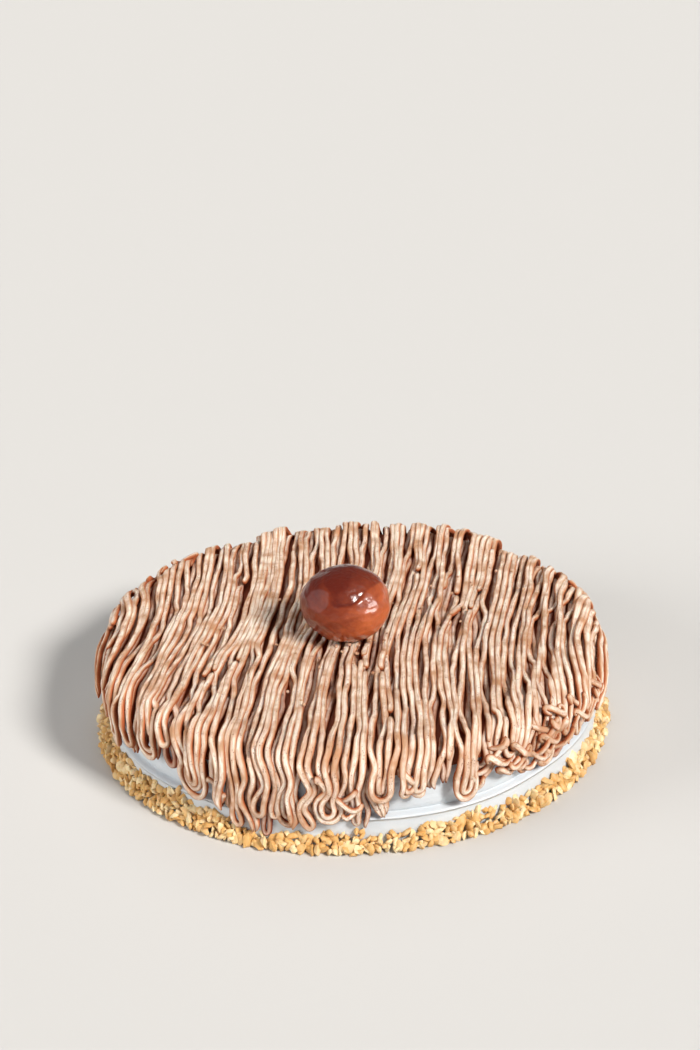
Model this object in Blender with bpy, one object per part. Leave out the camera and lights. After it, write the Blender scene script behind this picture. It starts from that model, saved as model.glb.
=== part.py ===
"""Chestnut cake: a round cream cake under a coat of piped chestnut cream strands.

Three pieces, in metres, +Z up, standing on Z = 0 with the origin under the middle:
  cream_cake         the whipped cream cake, a spatula ledge round its side, with the
                     chopped nuts round its foot fused on
  chestnut_strands   the piped strands, one fused coat with ridges, hanging ends and loops
  candied_chestnut   the glazed chestnut that lies on the strands
The strands run along Y, from the front of the cake (-Y) to the back.
"""

import math
import random

import bmesh
import bpy
from mathutils import Euler, Matrix, Vector, noise

MM = 0.001

# Driving dimensions of the cake
CAKE_RADIUS = 98.0 * MM
CREAM_TOP = 36.8 * MM
CREAM_SHOULDER = 8.0 * MM
LEDGE_HEIGHT = 13.6 * MM
ROUND_SEGMENTS = 48

# Driving dimensions of the strands
STRAND_COUNT = 62
STRAND_WIDTH = 2.7 * MM
COAT_DEPTH = 3.1 * MM
RIDGE_HEIGHT = 2.3 * MM
LAID_DEPTH = 2.6 * MM
SIDE_HEM_HEIGHT = 19.0 * MM
FRONT_HEM_HEIGHT = 17.0 * MM
CLEARANCE = 0.3 * MM
HEM_ROUNDING = 1.8 * MM
BUNDLE = 5

# Driving dimensions of the chestnut
CHESTNUT_SIZE = Vector((35.0, 32.0, 30.0)) * MM
CHESTNUT_CENTRE = Vector((-0.4, -10.3, 56.2)) * MM

# Driving dimensions of the nuts
NUT_COUNT = 68
NUT_LENGTH = 5.2 * MM
NUT_BAND = 7.5 * MM
NUT_SPREAD = 4.2 * MM
NUT_BANK_SEGMENTS = 48

FLAT_RADIUS = CAKE_RADIUS - CREAM_SHOULDER
SHOULDER_BASE = CREAM_TOP - CREAM_SHOULDER
SHOULDER_ARC = (CREAM_SHOULDER + LAID_DEPTH) * math.pi / 2

# Places where the coat hangs lower, or is held higher, as azimuth in degrees, half width
# in degrees and drop. The front of the cake is at 270 degrees.
HANGING_LOBES = (
    (256.0, 6.5, 10.0 * MM),
    (270.0, 3.0, 4.0 * MM),
    (279.5, 3.0, 8.0 * MM),
    (310.0, 4.0, -4.0 * MM),
    (203.0, 6.0, -4.5 * MM),
    (96.0, 7.0, 6.0 * MM),
    (64.0, 4.0, 4.0 * MM),
    (125.0, 5.0, -3.0 * MM),
)

# Heaps in the band of nuts, as azimuth in degrees, half width in degrees and rise
NUT_HEAPS = (
    (232.0, 14.0, 5.0 * MM),
    (300.0, 6.0, 2.5 * MM),
    (140.0, 10.0, 3.0 * MM),
    (40.0, 8.0, 2.0 * MM),
)


def clear_scene():
    """Removes the objects that Blender starts with."""
    for thing in list(bpy.data.objects):
        bpy.data.objects.remove(thing)


def plain_material(name, colour, roughness):
    """A material of one colour for a node."""
    material = bpy.data.materials.new(name)
    material.use_nodes = True
    shader = material.node_tree.nodes["Principled BSDF"]
    shader.inputs["Base Color"].default_value = (*colour, 1.0)
    shader.inputs["Roughness"].default_value = roughness
    shader.inputs["Metallic"].default_value = 0.0
    return material


def object_of(name, mesh_data, material=None):
    """Links a bmesh to the scene as a named object, and frees the bmesh."""
    mesh = bpy.data.meshes.new(name)
    mesh_data.to_mesh(mesh)
    mesh_data.free()
    made = bpy.data.objects.new(name, mesh)
    bpy.context.scene.collection.objects.link(made)
    if material is not None:
        mesh.materials.append(material)
    return made


def swell(azimuth, bumps):
    """The sum of smooth bumps at an azimuth, in radians, from a table in degrees."""
    total = 0.0
    for centre, half_width, size in bumps:
        away = (math.degrees(azimuth) - centre + 180.0) % 360.0 - 180.0
        total += size * math.exp(-0.5 * (away / half_width) ** 2)
    return total


def hem_height(azimuth):
    """Height above the table where the coat of strands ends, at an azimuth in radians."""
    front_share = abs(math.sin(azimuth)) ** 0.7
    plain = SIDE_HEM_HEIGHT + (FRONT_HEM_HEIGHT - SIDE_HEM_HEIGHT) * front_share
    ripple = 1.2 * MM * math.sin(5.0 * azimuth + 0.6)
    return plain + ripple - swell(azimuth, HANGING_LOBES)


def hem_reach(azimuth):
    """The way from the middle of the cake to the hem, measured over its surface."""
    wall = SHOULDER_BASE - hem_height(azimuth)
    return FLAT_RADIUS + SHOULDER_ARC + wall


def on_cake(across, along, height):
    """The point that lies over the cake, where a flat cloth laid on it is draped.

    across and along are the cloth's own flat coordinates, and height is the height
    over the cream, square to its surface.
    """
    reach = math.hypot(across, along)
    if reach <= FLAT_RADIUS:
        return Vector((across, along, CREAM_TOP + height))
    turn = min((reach - FLAT_RADIUS) / (CREAM_SHOULDER + LAID_DEPTH), math.pi / 2)
    fall = max(reach - FLAT_RADIUS - SHOULDER_ARC, 0.0)
    radius = FLAT_RADIUS + (CREAM_SHOULDER + height) * math.sin(turn)
    level = SHOULDER_BASE + (CREAM_SHOULDER + height) * math.cos(turn) - fall
    return Vector((radius * across / reach, radius * along / reach, level))


def turned(profile, segments):
    """A closed solid of revolution of an outline that starts and ends on the axis."""
    made = bmesh.new()
    rings = []
    for radius, level in profile:
        if radius == 0.0:
            rings.append([made.verts.new((0.0, 0.0, level))])
            continue
        ring = []
        for step in range(segments):
            angle = 2.0 * math.pi * step / segments
            ring.append(
                made.verts.new((radius * math.cos(angle), radius * math.sin(angle), level))
            )
        rings.append(ring)
    for lower, upper in zip(rings, rings[1:]):
        for step in range(segments):
            after = (step + 1) % segments
            if len(lower) == 1:
                made.faces.new((lower[0], upper[after], upper[step]))
            elif len(upper) == 1:
                made.faces.new((lower[step], lower[after], upper[0]))
            else:
                made.faces.new((lower[step], lower[after], upper[after], upper[step]))
    bmesh.ops.recalc_face_normals(made, faces=made.faces)
    return made


def shoulder_outline(margin, steps=2):
    """The rounded top edge of the cream, from the wall to the flat top, grown by margin."""
    outline = []
    for step in range(steps + 1):
        turn = math.pi / 2 * (1.0 - step / steps)
        outline.append(
            (
                FLAT_RADIUS + (CREAM_SHOULDER + margin) * math.sin(turn),
                SHOULDER_BASE + (CREAM_SHOULDER + margin) * math.cos(turn),
            )
        )
    return outline


def wall_outline(margin):
    """The side of the cream: a foot that spreads, the ledge and the upright wall."""
    foot = 1.2 * MM
    return [
        (CAKE_RADIUS + foot + margin, 0.0),
        (CAKE_RADIUS + 0.8 * foot + margin, 0.6 * LEDGE_HEIGHT),
        (CAKE_RADIUS - 0.8 * foot + margin, LEDGE_HEIGHT),
        (CAKE_RADIUS - 0.1 * foot + margin, LEDGE_HEIGHT + 1.2 * MM),
        (CAKE_RADIUS + margin, LEDGE_HEIGHT + 6.0 * MM),
    ]


def cream_outline():
    """The outline of the whole cream cake, from the middle of its foot to its top."""
    return [(0.0, 0.0)] + wall_outline(0.0) + shoulder_outline(0.0) + [(0.0, CREAM_TOP)]


def space_for_cream():
    """A solid a little larger than the cream, which hollows out the coat of strands."""
    outline = [(0.0, 0.0)] + wall_outline(CLEARANCE) + shoulder_outline(CLEARANCE)
    outline.append((0.0, CREAM_TOP + CLEARANCE))
    return object_of("space_for_cream", turned(outline, ROUND_SEGMENTS))


def keep_main_body(thing):
    """Drops loose scraps and the walls of sealed hollows that a Boolean leaves."""
    mesh_data = bmesh.new()
    mesh_data.from_mesh(thing.data)
    waiting = set(mesh_data.faces)
    bodies = []
    while waiting:
        front = [waiting.pop()]
        body = list(front)
        while front:
            near = {f for edge in front.pop().edges for f in edge.link_faces} & waiting
            waiting -= near
            front.extend(near)
            body.extend(near)
        bodies.append(body)
    bodies.sort(key=len)
    scraps = [face for body in bodies[:-1] for face in body]
    bmesh.ops.delete(mesh_data, geom=scraps, context="FACES")
    mesh_data.to_mesh(thing.data)
    mesh_data.free()


def apply_boolean(thing, operation, other, solver="EXACT"):
    """Applies a Boolean with one object, or a union with all of a collection, and removes it."""
    modifier = thing.modifiers.new(operation.lower(), "BOOLEAN")
    modifier.operation = operation
    modifier.solver = solver
    if isinstance(other, bpy.types.Collection):
        modifier.operand_type = "COLLECTION"
        modifier.collection = other
        used = list(other.objects)
    else:
        modifier.object = other
        used = [other]
    bpy.context.view_layer.objects.active = thing
    bpy.ops.object.modifier_apply(modifier=modifier.name)
    for piece in used:
        bpy.data.objects.remove(piece)
    if isinstance(other, bpy.types.Collection):
        bpy.data.collections.remove(other)


def nut_lump(rng, name):
    """One chopped nut: an uneven lump of twenty faces."""
    made = bmesh.new()
    bmesh.ops.create_icosphere(made, subdivisions=1, radius=0.5)
    length = NUT_LENGTH * rng.uniform(0.8, 1.15)
    stretch = Vector((length, length * rng.uniform(0.6, 0.8), length * rng.uniform(0.5, 0.7)))
    for corner in made.verts:
        corner.co *= rng.uniform(0.85, 1.15)
        corner.co = Vector(a * b for a, b in zip(corner.co, stretch))
    turn = Euler([rng.uniform(0.0, math.tau) for _ in range(3)]).to_matrix().to_4x4()
    made.transform(turn)
    lump = object_of(name, made)
    return lump


def nut_band_height(azimuth):
    """The height that the nuts reach up the side, kept under the hanging strands."""
    heaped = NUT_BAND + swell(azimuth, NUT_HEAPS)
    return min(heaped, hem_height(azimuth) - 2.6 * MM)


def nut_bank():
    """The packed nuts as one uneven ring round the foot, under the ones that show whole."""
    rng = random.Random(17)
    made = bmesh.new()
    rings = []
    for step in range(NUT_BANK_SEGMENTS):
        azimuth = math.tau * step / NUT_BANK_SEGMENTS
        top = 0.8 * nut_band_height(azimuth) * rng.uniform(0.75, 1.05)
        spread = NUT_SPREAD * rng.uniform(0.7, 1.0)
        section = (
            (-3.0 * MM, 0.1 * MM),
            (spread, 0.1 * MM),
            (0.9 * spread, 0.4 * top),
            (0.55 * spread, top),
            (-3.0 * MM, top),
        )
        ring = []
        for out, level in section:
            radius = CAKE_RADIUS + out
            ring.append(
                made.verts.new((radius * math.cos(azimuth), radius * math.sin(azimuth), level))
            )
        rings.append(ring)
    for here, there in zip(rings, rings[1:] + rings[:1]):
        for step in range(5):
            after = (step + 1) % 5
            made.faces.new((here[step], here[after], there[after], there[step]))
    bmesh.ops.recalc_face_normals(made, faces=made.faces)
    return object_of("nut_bank", made)


def scatter_nuts():
    """The chopped nuts round the foot of the cake: the bank, and two courses on it."""
    rng = random.Random(41)
    lumps = []
    lower_course = NUT_COUNT * 3 // 5
    upper_course = NUT_COUNT - lower_course
    for index in range(NUT_COUNT):
        low = index < lower_course
        share = index / lower_course if low else (index - lower_course) / upper_course
        azimuth = math.tau * share + rng.uniform(-0.025, 0.025)
        lump = nut_lump(rng, f"nut_{index}")
        heights = [corner.co.z for corner in lump.data.vertices]
        squash = min(1.0, (nut_band_height(azimuth) - 0.2 * MM) / (max(heights) - min(heights)))
        lump.data.transform(Matrix.Diagonal((1.0, 1.0, squash, 1.0)))
        heights = [height * squash for height in heights]
        if low:
            out = rng.uniform(0.85, 1.15) * NUT_SPREAD
            lift = 0.1 * MM
        else:
            out = rng.uniform(0.5, 0.8) * NUT_SPREAD
            room = nut_band_height(azimuth) - (max(heights) - min(heights))
            lift = max(rng.uniform(0.6, 1.0) * room, 0.1 * MM)
        radius = CAKE_RADIUS + out
        place = Vector((radius * math.cos(azimuth), radius * math.sin(azimuth), lift))
        place.z -= min(heights)
        lump.data.transform(Matrix.Translation(place))
        lumps.append(lump)
    heap = bpy.data.collections.new("nuts")
    bpy.context.scene.collection.children.link(heap)
    for lump in [nut_bank()] + lumps:
        bpy.context.scene.collection.objects.unlink(lump)
        heap.objects.link(lump)
    return heap


def build_cream_cake():
    """The cream body with its nuts fused on."""
    material = plain_material("whipped_cream", (0.86, 0.87, 0.88), 0.5)
    cake = object_of("cream_cake", turned(cream_outline(), ROUND_SEGMENTS), material)
    apply_boolean(cake, "UNION", scatter_nuts())
    keep_main_body(cake)
    return cake


def wander(across, along):
    """How far a strand strays to the side on its way, the same for near neighbours."""
    slow = noise.noise(Vector((across / (42.0 * MM), along / (75.0 * MM), 3.0)))
    quick = noise.noise(Vector((across / (15.0 * MM), along / (34.0 * MM), 9.0)))
    return (2.6 * slow + 0.9 * quick) * MM


def column_ends(across, side, tuck=0.0):
    """How far a strand runs to its end, towards the front (side -1) or the back (+1)."""
    run = 60.0 * MM
    for _ in range(4):
        reach = hem_reach(math.atan2(side * run, across)) - tuck
        run = math.sqrt(max(reach * reach - across * across, (16.0 * MM) ** 2))
    return run


def stations(across, tuck):
    """The stations of one column, from the front hem over the top to the back hem.

    They lie close together on the wall and round the shoulder, and far apart on top.
    """
    levels = (
        (FLAT_RADIUS + 0.9 * SHOULDER_ARC, 0.9),
        (FLAT_RADIUS + 0.5 * SHOULDER_ARC, 0.81),
        (FLAT_RADIUS + 0.15 * SHOULDER_ARC, 0.72),
        (0.55 * FLAT_RADIUS, 0.42),
    )
    halves = []
    for side in (-1, 1):
        end = column_ends(across, side, tuck)
        half = [side * end, side * (end - HEM_ROUNDING)]
        for reach, share in levels:
            free = math.sqrt(max(reach * reach - across * across, 0.0))
            most = (0.08 + 0.9 * share) * (end - HEM_ROUNDING)
            half.append(side * min(max(free, share * end), most))
        halves.append(half)
    return halves[0] + [0.0] + halves[1][::-1]


def ridge_height(strand, along):
    """Height of a strand's crest over the valleys beside it."""
    uneven = noise.noise(Vector((strand * 0.71, along / (38.0 * MM), 1.0)))
    return RIDGE_HEIGHT + 1.5 * MM * uneven


def valley_height(strand, along):
    """Height of the valley before a strand: deep between bundles, shallow in them."""
    depth = noise.noise(Vector((strand * 0.93, along / (30.0 * MM), 5.0)))
    between = 1.1 * MM if strand % BUNDLE == 0 else 0.0
    return COAT_DEPTH - between + 0.7 * MM * depth


def coat_columns():
    """The columns of the coat: a valley and a flat crest for each strand.

    Each column is a list of the flat coordinates and the height of its stations. At both
    hems every other valley is closed, so that two strands turn into each other there.
    """
    left = -hem_reach(math.pi) + 1.6 * MM
    right = hem_reach(0.0) - 1.6 * MM
    pitch = (right - left) / STRAND_COUNT
    columns = []
    for strand in range(STRAND_COUNT + 1):
        start = left + strand * pitch
        turns_back = strand % 2 == 1
        edge = strand in (0, STRAND_COUNT)
        valley = []
        for along in stations(start, 0.0 if turns_back or edge else 2.6 * MM):
            valley.append([start + wander(start, along), along, valley_height(strand, along)])
        if turns_back:
            for end in (0, 1, -2, -1):
                valley[end][2] += 0.8 * ridge_height(strand, valley[end][1])
        columns.append(valley)
        if strand == STRAND_COUNT:
            break
        tuck = 0.7 * MM + 1.1 * MM * math.sin((strand + 1) // 2 * 2.4)
        inner_share = 0.7 if turns_back else 0.3
        for share in (0.3, 0.7):
            across = start + share * pitch
            crest = []
            for along in stations(across, tuck + (1.1 * MM if share != inner_share else 0.0)):
                rise = valley_height(strand, along) + ridge_height(strand, along)
                crest.append([across + wander(across, along), along, rise])
            columns.append(crest)
    for column in columns:
        for end in (0, -1):
            column[end][2] *= 0.5
    return columns


def coat_body():
    """The strands side by side as one closed body, still solid where the cream goes."""
    made = bmesh.new()
    columns = coat_columns()
    outer = [[made.verts.new(on_cake(*station)) for station in column] for column in columns]
    inner = [
        [made.verts.new(on_cake(across, along, -4.0 * MM)) for across, along, _ in column]
        for column in columns
    ]
    for sheet in (outer, inner):
        for here, there in zip(sheet, sheet[1:]):
            for row in range(len(here) - 1):
                made.faces.new((here[row], there[row], there[row + 1], here[row + 1]))
    rims = []
    for sheet in (outer, inner):
        rims.append(
            [column[0] for column in sheet]
            + sheet[-1][1:-1]
            + [column[-1] for column in reversed(sheet)]
            + sheet[0][-2:0:-1]
        )
    for step in range(len(rims[0])):
        after = (step + 1) % len(rims[0])
        made.faces.new((rims[0][step], rims[0][after], rims[1][after], rims[1][step]))
    bmesh.ops.recalc_face_normals(made, faces=made.faces)
    return made


def tube(name, points, width, sides=4):
    """A closed tube with flat ends along a list of points, its flats a width apart."""
    made = bmesh.new()
    radius = width / 2 / math.cos(math.pi / sides)
    rings = []
    for index, point in enumerate(points):
        before = points[max(index - 1, 0)]
        after = points[min(index + 1, len(points) - 1)]
        heading = (after - before).normalized()
        outward = Vector((point.x, point.y, 0.35 * CAKE_RADIUS)).normalized()
        flank = heading.cross(outward).normalized()
        crown = flank.cross(heading)
        ring = []
        for step in range(sides):
            angle = math.tau * (step + 0.5) / sides
            spoke = math.cos(angle) * crown + math.sin(angle) * flank
            ring.append(made.verts.new(point + radius * spoke))
        rings.append(ring)
    for here, there in zip(rings, rings[1:]):
        for step in range(sides):
            after = (step + 1) % sides
            made.faces.new((here[step], here[after], there[after], there[step]))
    made.faces.new(rings[0])
    made.faces.new(rings[-1])
    bmesh.ops.recalc_face_normals(made, faces=made.faces)
    return object_of(name, made)


def room_for_loop(middle, side):
    """How far a strand can hang below the hem and stay clear of the nuts."""
    azimuth = math.atan2(side * column_ends(middle, side), middle)
    lowest = max(nut_band_height(azimuth + step * 0.02) for step in (-2, -1, 0, 1, 2))
    return hem_height(azimuth) - lowest - STRAND_WIDTH


def hanging_loop(name, middle, half, side, drop):
    """A strand that comes down from under the hem and turns back up."""
    hem = Vector((middle, side * column_ends(middle, side)))
    down = hem.normalized()
    flank = Vector((-down.y, down.x))
    straight = drop - half
    flat = [(-half, -3.2 * MM)]
    for step in range(5):
        angle = math.pi * step / 4
        flat.append((-half * math.cos(angle), straight + half * math.sin(angle)))
    flat.append((half, -3.2 * MM))
    placed = []
    for across, along in flat:
        point = hem + flank * across + down * along
        placed.append(on_cake(point.x, point.y, 0.72 * STRAND_WIDTH))
    return tube(name, placed, STRAND_WIDTH)


def stray_curl(name, azimuth, height, size, turn):
    """A crumpled bit of strand that lies on the hem, part of a tangle."""
    reach = FLAT_RADIUS + SHOULDER_ARC + SHOULDER_BASE - height
    centre = Vector((math.cos(azimuth), math.sin(azimuth))) * reach
    points = []
    for step in range(7):
        angle = turn + math.radians(220.0) * step / 6
        point = centre + size * Vector((math.cos(angle), 0.8 * math.sin(angle)))
        rise = COAT_DEPTH + RIDGE_HEIGHT * (0.7 + 0.3 * math.sin(2.0 * angle))
        points.append(on_cake(point.x, point.y, rise))
    return tube(name, points, STRAND_WIDTH)


def hanging_pieces():
    """The loops under the front and back hem, and the tangle at the front right."""
    rng = random.Random(7)
    pieces = []
    for side, count in ((-1, 12), (1, 5)):
        for index in range(count):
            spread = (index + 0.5) / count * 2.0 - 1.0
            middle = math.sin(spread * math.radians(76.0)) * 104.0 * MM
            half = rng.uniform(2.2, 3.4) * MM
            drop = min(half + rng.uniform(1.2, 2.8) * MM, room_for_loop(middle, side))
            if drop > half + 0.6 * MM:
                pieces.append(hanging_loop(f"loop_{side}_{index}", middle, half, side, drop))
    for index in range(3):
        azimuth = math.radians(306.0 + 10.0 * index)
        level = rng.uniform(22.0, 27.0) * MM
        size = rng.uniform(3.0, 4.5) * MM
        pieces.append(stray_curl(f"curl_{index}", azimuth, level, size, rng.uniform(0.0, 6.0)))
    return pieces


def chestnut_mesh(margin, rings=12, segments=20):
    """The chestnut's uneven egg, with the furrow across its top, grown by margin."""
    made = bmesh.new()
    bmesh.ops.create_uvsphere(made, u_segments=segments, v_segments=rings, radius=1.0)
    for corner in made.verts:
        way = corner.co.normalized()
        bump = 0.035 * noise.noise(way * 1.7 + Vector((4.0, 1.0, 2.0)))
        furrow = 0.035 * math.exp(-(((way.y - 0.25 * way.x - 0.15) / 0.16) ** 2)) * max(way.z, 0.0)
        shoulder = 0.04 * way.x * abs(way.x)
        scale = 1.0 + bump - furrow + shoulder
        corner.co = Vector(
            way[axis] * (CHESTNUT_SIZE[axis] / 2 * scale + margin) for axis in range(3)
        )
    made.transform(Matrix.Translation(CHESTNUT_CENTRE))
    bmesh.ops.recalc_face_normals(made, faces=made.faces)
    return made


def build_strands():
    """The coat of strands: ridges and loops joined, then hollowed for cream and chestnut."""
    material = plain_material("chestnut_cream", (0.66, 0.42, 0.28), 0.7)
    coat = object_of("chestnut_strands", coat_body(), material)
    loose = bpy.data.collections.new("loose_strands")
    bpy.context.scene.collection.children.link(loose)
    for piece in hanging_pieces():
        bpy.context.scene.collection.objects.unlink(piece)
        loose.objects.link(piece)
    apply_boolean(coat, "UNION", loose, "MANIFOLD")
    apply_boolean(coat, "DIFFERENCE", space_for_cream(), "MANIFOLD")
    hollow = object_of("space_for_chestnut", chestnut_mesh(CLEARANCE))
    apply_boolean(coat, "DIFFERENCE", hollow, "MANIFOLD")
    keep_main_body(coat)
    return coat


def build_chestnut():
    """The glazed chestnut."""
    material = plain_material("candied_chestnut", (0.23, 0.045, 0.015), 0.2)
    chestnut = object_of("candied_chestnut", chestnut_mesh(0.0), material)
    chestnut.data.shade_smooth()
    return chestnut


def main():
    """Builds the cake's three pieces."""
    clear_scene()
    build_cream_cake()
    build_strands()
    build_chestnut()


main()
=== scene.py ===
"""A chestnut cake: whipped cream, chopped nuts, piped chestnut cream and a glazed chestnut.

Lengths are in metres. The strands are laid out in the flat, as a cloth of across, along and
height, and are then draped over the cake by CakeForm.drape.
"""

import logging
import math
import random
from collections.abc import Iterable, Sequence
from dataclasses import dataclass, field
from enum import Enum

import bpy
import numpy as np
from mathutils import Matrix, Vector, noise


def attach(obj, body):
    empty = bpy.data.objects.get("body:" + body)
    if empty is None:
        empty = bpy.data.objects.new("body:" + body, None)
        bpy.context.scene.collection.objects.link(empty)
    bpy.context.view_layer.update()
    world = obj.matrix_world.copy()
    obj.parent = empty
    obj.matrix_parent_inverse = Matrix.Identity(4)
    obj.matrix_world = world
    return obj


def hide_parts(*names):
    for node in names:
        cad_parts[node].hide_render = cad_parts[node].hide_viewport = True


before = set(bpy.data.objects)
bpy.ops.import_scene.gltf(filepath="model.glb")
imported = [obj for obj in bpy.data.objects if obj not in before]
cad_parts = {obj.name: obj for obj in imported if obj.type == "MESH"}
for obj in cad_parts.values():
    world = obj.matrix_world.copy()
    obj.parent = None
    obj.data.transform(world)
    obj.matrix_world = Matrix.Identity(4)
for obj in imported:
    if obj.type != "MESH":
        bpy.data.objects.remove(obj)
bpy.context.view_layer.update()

MM = 0.001
Colour = tuple[float, float, float]
log = logging.getLogger("chestnut_cake")


def drift(across: float, along: float, seed: float) -> float:
    """Smooth noise from about -1 to 1 at a place in the flat."""
    return 1.6 * noise.noise(Vector((across, along, seed)))


def smooth(value: float, low: float, high: float) -> float:
    """Rises smoothly from 0 at low to 1 at high."""
    share = min(max((value - low) / (high - low), 0.0), 1.0)
    return share * share * (3.0 - 2.0 * share)


class Value:
    """One output of a shader node, on which Python's arithmetic adds Math nodes."""

    def __init__(self, shader: "Shader", socket: bpy.types.NodeSocket) -> None:
        """Wraps a socket.

        Args:
            shader: The shader whose tree the socket is in.
            socket: The output socket.
        """
        self.shader = shader
        self.socket = socket

    def _maths(self, operation: str, first: object, second: object = 0.0) -> "Value":
        """Adds one Math node."""
        return self.shader.node("ShaderNodeMath", {"operation": operation}, {0: first, 1: second})

    def __add__(self, other: object) -> "Value":
        """Adds."""
        return self._maths("ADD", self, other)

    def __radd__(self, other: object) -> "Value":
        """Adds, with the value on the right."""
        return self._maths("ADD", other, self)

    def __sub__(self, other: object) -> "Value":
        """Subtracts."""
        return self._maths("SUBTRACT", self, other)

    def __rsub__(self, other: object) -> "Value":
        """Subtracts the value from something."""
        return self._maths("SUBTRACT", other, self)

    def __mul__(self, other: object) -> "Value":
        """Multiplies."""
        return self._maths("MULTIPLY", self, other)

    def __rmul__(self, other: object) -> "Value":
        """Multiplies, with the value on the right."""
        return self._maths("MULTIPLY", other, self)

    def step(self, low: float, high: float) -> "Value":
        """Rises smoothly from 0 where the value is low to 1 where it is high."""
        settings = {"interpolation_type": "SMOOTHSTEP"}
        return self.shader.node("ShaderNodeMapRange", settings, {0: self, 1: low, 2: high})


class Shader:
    """A material under construction: one Principled BSDF and the nodes that feed it."""

    def __init__(self, name: str) -> None:
        """Starts a material.

        Args:
            name: Its name.
        """
        self.material = bpy.data.materials.new(name)
        self.material.use_nodes = True
        self.tree = self.material.node_tree
        self.surface = self.tree.nodes["Principled BSDF"]

    def plug(self, socket: bpy.types.NodeSocket, value: object) -> None:
        """Links a value to an input, or sets the input to a constant.

        Args:
            socket: The input.
            value: A Value to link, or a constant. A colour has three parts.
        """
        if isinstance(value, Value):
            self.tree.links.new(value.socket, socket)
        elif socket.type == "RGBA":
            socket.default_value = (*value, 1.0)
        else:
            socket.default_value = value

    def node(
        self,
        kind: str,
        settings: dict[str, object] | None = None,
        inputs: dict[object, object] | None = None,
        output: object = 0,
    ) -> Value:
        """Adds a node.

        Args:
            kind: Blender's type of the node.
            settings: The node's own properties, and the stops of a colour ramp.
            inputs: Values or constants by the index or name of the input.
            output: Index or name of the output that is returned.

        Returns:
            The output.
        """
        made = self.tree.nodes.new(kind)
        for name, setting in (settings or {}).items():
            if name == "stops":
                self._set_stops(made.color_ramp, setting)
            else:
                setattr(made, name, setting)
        for key, value in (inputs or {}).items():
            self.plug(made.inputs[key], value)
        return Value(self, made.outputs[output])

    @staticmethod
    def _set_stops(ramp: bpy.types.ColorRamp, stops: Sequence[tuple[float, Colour]]) -> None:
        """Gives a colour ramp its stops.

        Args:
            ramp: The ramp.
            stops: The place and colour of each stop.
        """
        while len(ramp.elements) < len(stops):
            ramp.elements.new(0.5)
        for element, (place, colour) in zip(ramp.elements, stops):
            element.position = place
            element.color = (*colour, 1.0)

    def coordinates(self, name: str = "Object") -> Value:
        """The object's own coordinates, or its UV map's."""
        return self.node("ShaderNodeTexCoord", output=name)

    def sum(self, first: Value, second: Value) -> Value:
        """The sum of two vectors."""
        return self.node("ShaderNodeVectorMath", {"operation": "ADD"}, {0: first, 1: second})

    def scaled(self, vector: Value, scale: tuple[float, float, float]) -> Value:
        """A vector with each of its parts multiplied."""
        return self.node("ShaderNodeVectorMath", {"operation": "MULTIPLY"}, {0: vector, 1: scale})

    def grain(self, vector: Value, scale: float, detail: float = 2.0, rough: float = 0.5) -> Value:
        """Noise from 0 to 1 on a vector."""
        inputs = {"Vector": vector, "Scale": scale, "Detail": detail, "Roughness": rough}
        return self.node("ShaderNodeTexNoise", {}, inputs, "Fac")

    def mix(self, factor: object, first: object, second: object) -> Value:
        """Mixes two colours, which a Mix node has at its inputs 6 and 7 and its output 2."""
        inputs = {0: factor, 6: first, 7: second}
        return self.node("ShaderNodeMix", {"data_type": "RGBA"}, inputs, 2)

    def attribute(self, name: str) -> Value:
        """A number stored on the mesh."""
        settings = {"attribute_name": name, "attribute_type": "GEOMETRY"}
        return self.node("ShaderNodeAttribute", settings, {}, "Fac")

    def bump(self, height: Value, strength: float, distance: float) -> None:
        """Raises the surface's normal by a height."""
        inputs = {"Height": height, "Strength": strength, "Distance": distance}
        self.plug(self.surface.inputs["Normal"], self.node("ShaderNodeBump", {}, inputs))

    def feed(self, **sockets: object) -> None:
        """Sets or links inputs of the surface by name, with underscores for the spaces."""
        for name, value in sockets.items():
            self.plug(self.surface.inputs[name.replace("_", " ")], value)


@dataclass(frozen=True)
class CreamFinish:
    """Whipped cream smoothed with a spatula: white, soft and faintly mottled."""

    colour: Colour = (0.575, 0.61, 0.64)
    shade: Colour = (0.535, 0.575, 0.61)
    cloud_scale: float = 55.0
    streak_scale: float = 110.0
    streak_flatness: float = 7.0
    pore_scale: float = 900.0
    relief: float = 0.5 * MM

    def material(self) -> bpy.types.Material:
        """Builds the material.

        Returns:
            The material.
        """
        shader = Shader("whipped_cream")
        place = shader.coordinates()
        cloud = shader.grain(place, self.cloud_scale, 3.0)
        flattened = shader.scaled(place, (1.0, 1.0, self.streak_flatness))
        streak = shader.grain(flattened, self.streak_scale, 3.0)
        pores = shader.grain(place, self.pore_scale)
        shader.feed(
            Base_Color=shader.mix(cloud.step(0.35, 0.7), self.colour, self.shade),
            Roughness=0.42 + 0.16 * cloud,
            Subsurface_Weight=0.35,
            Subsurface_Radius=(1.0, 0.85, 0.75),
            Subsurface_Scale=3.0 * MM,
            Specular_IOR_Level=0.4,
        )
        shader.bump(streak + 0.35 * pores, 0.35, self.relief)
        return shader.material


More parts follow.
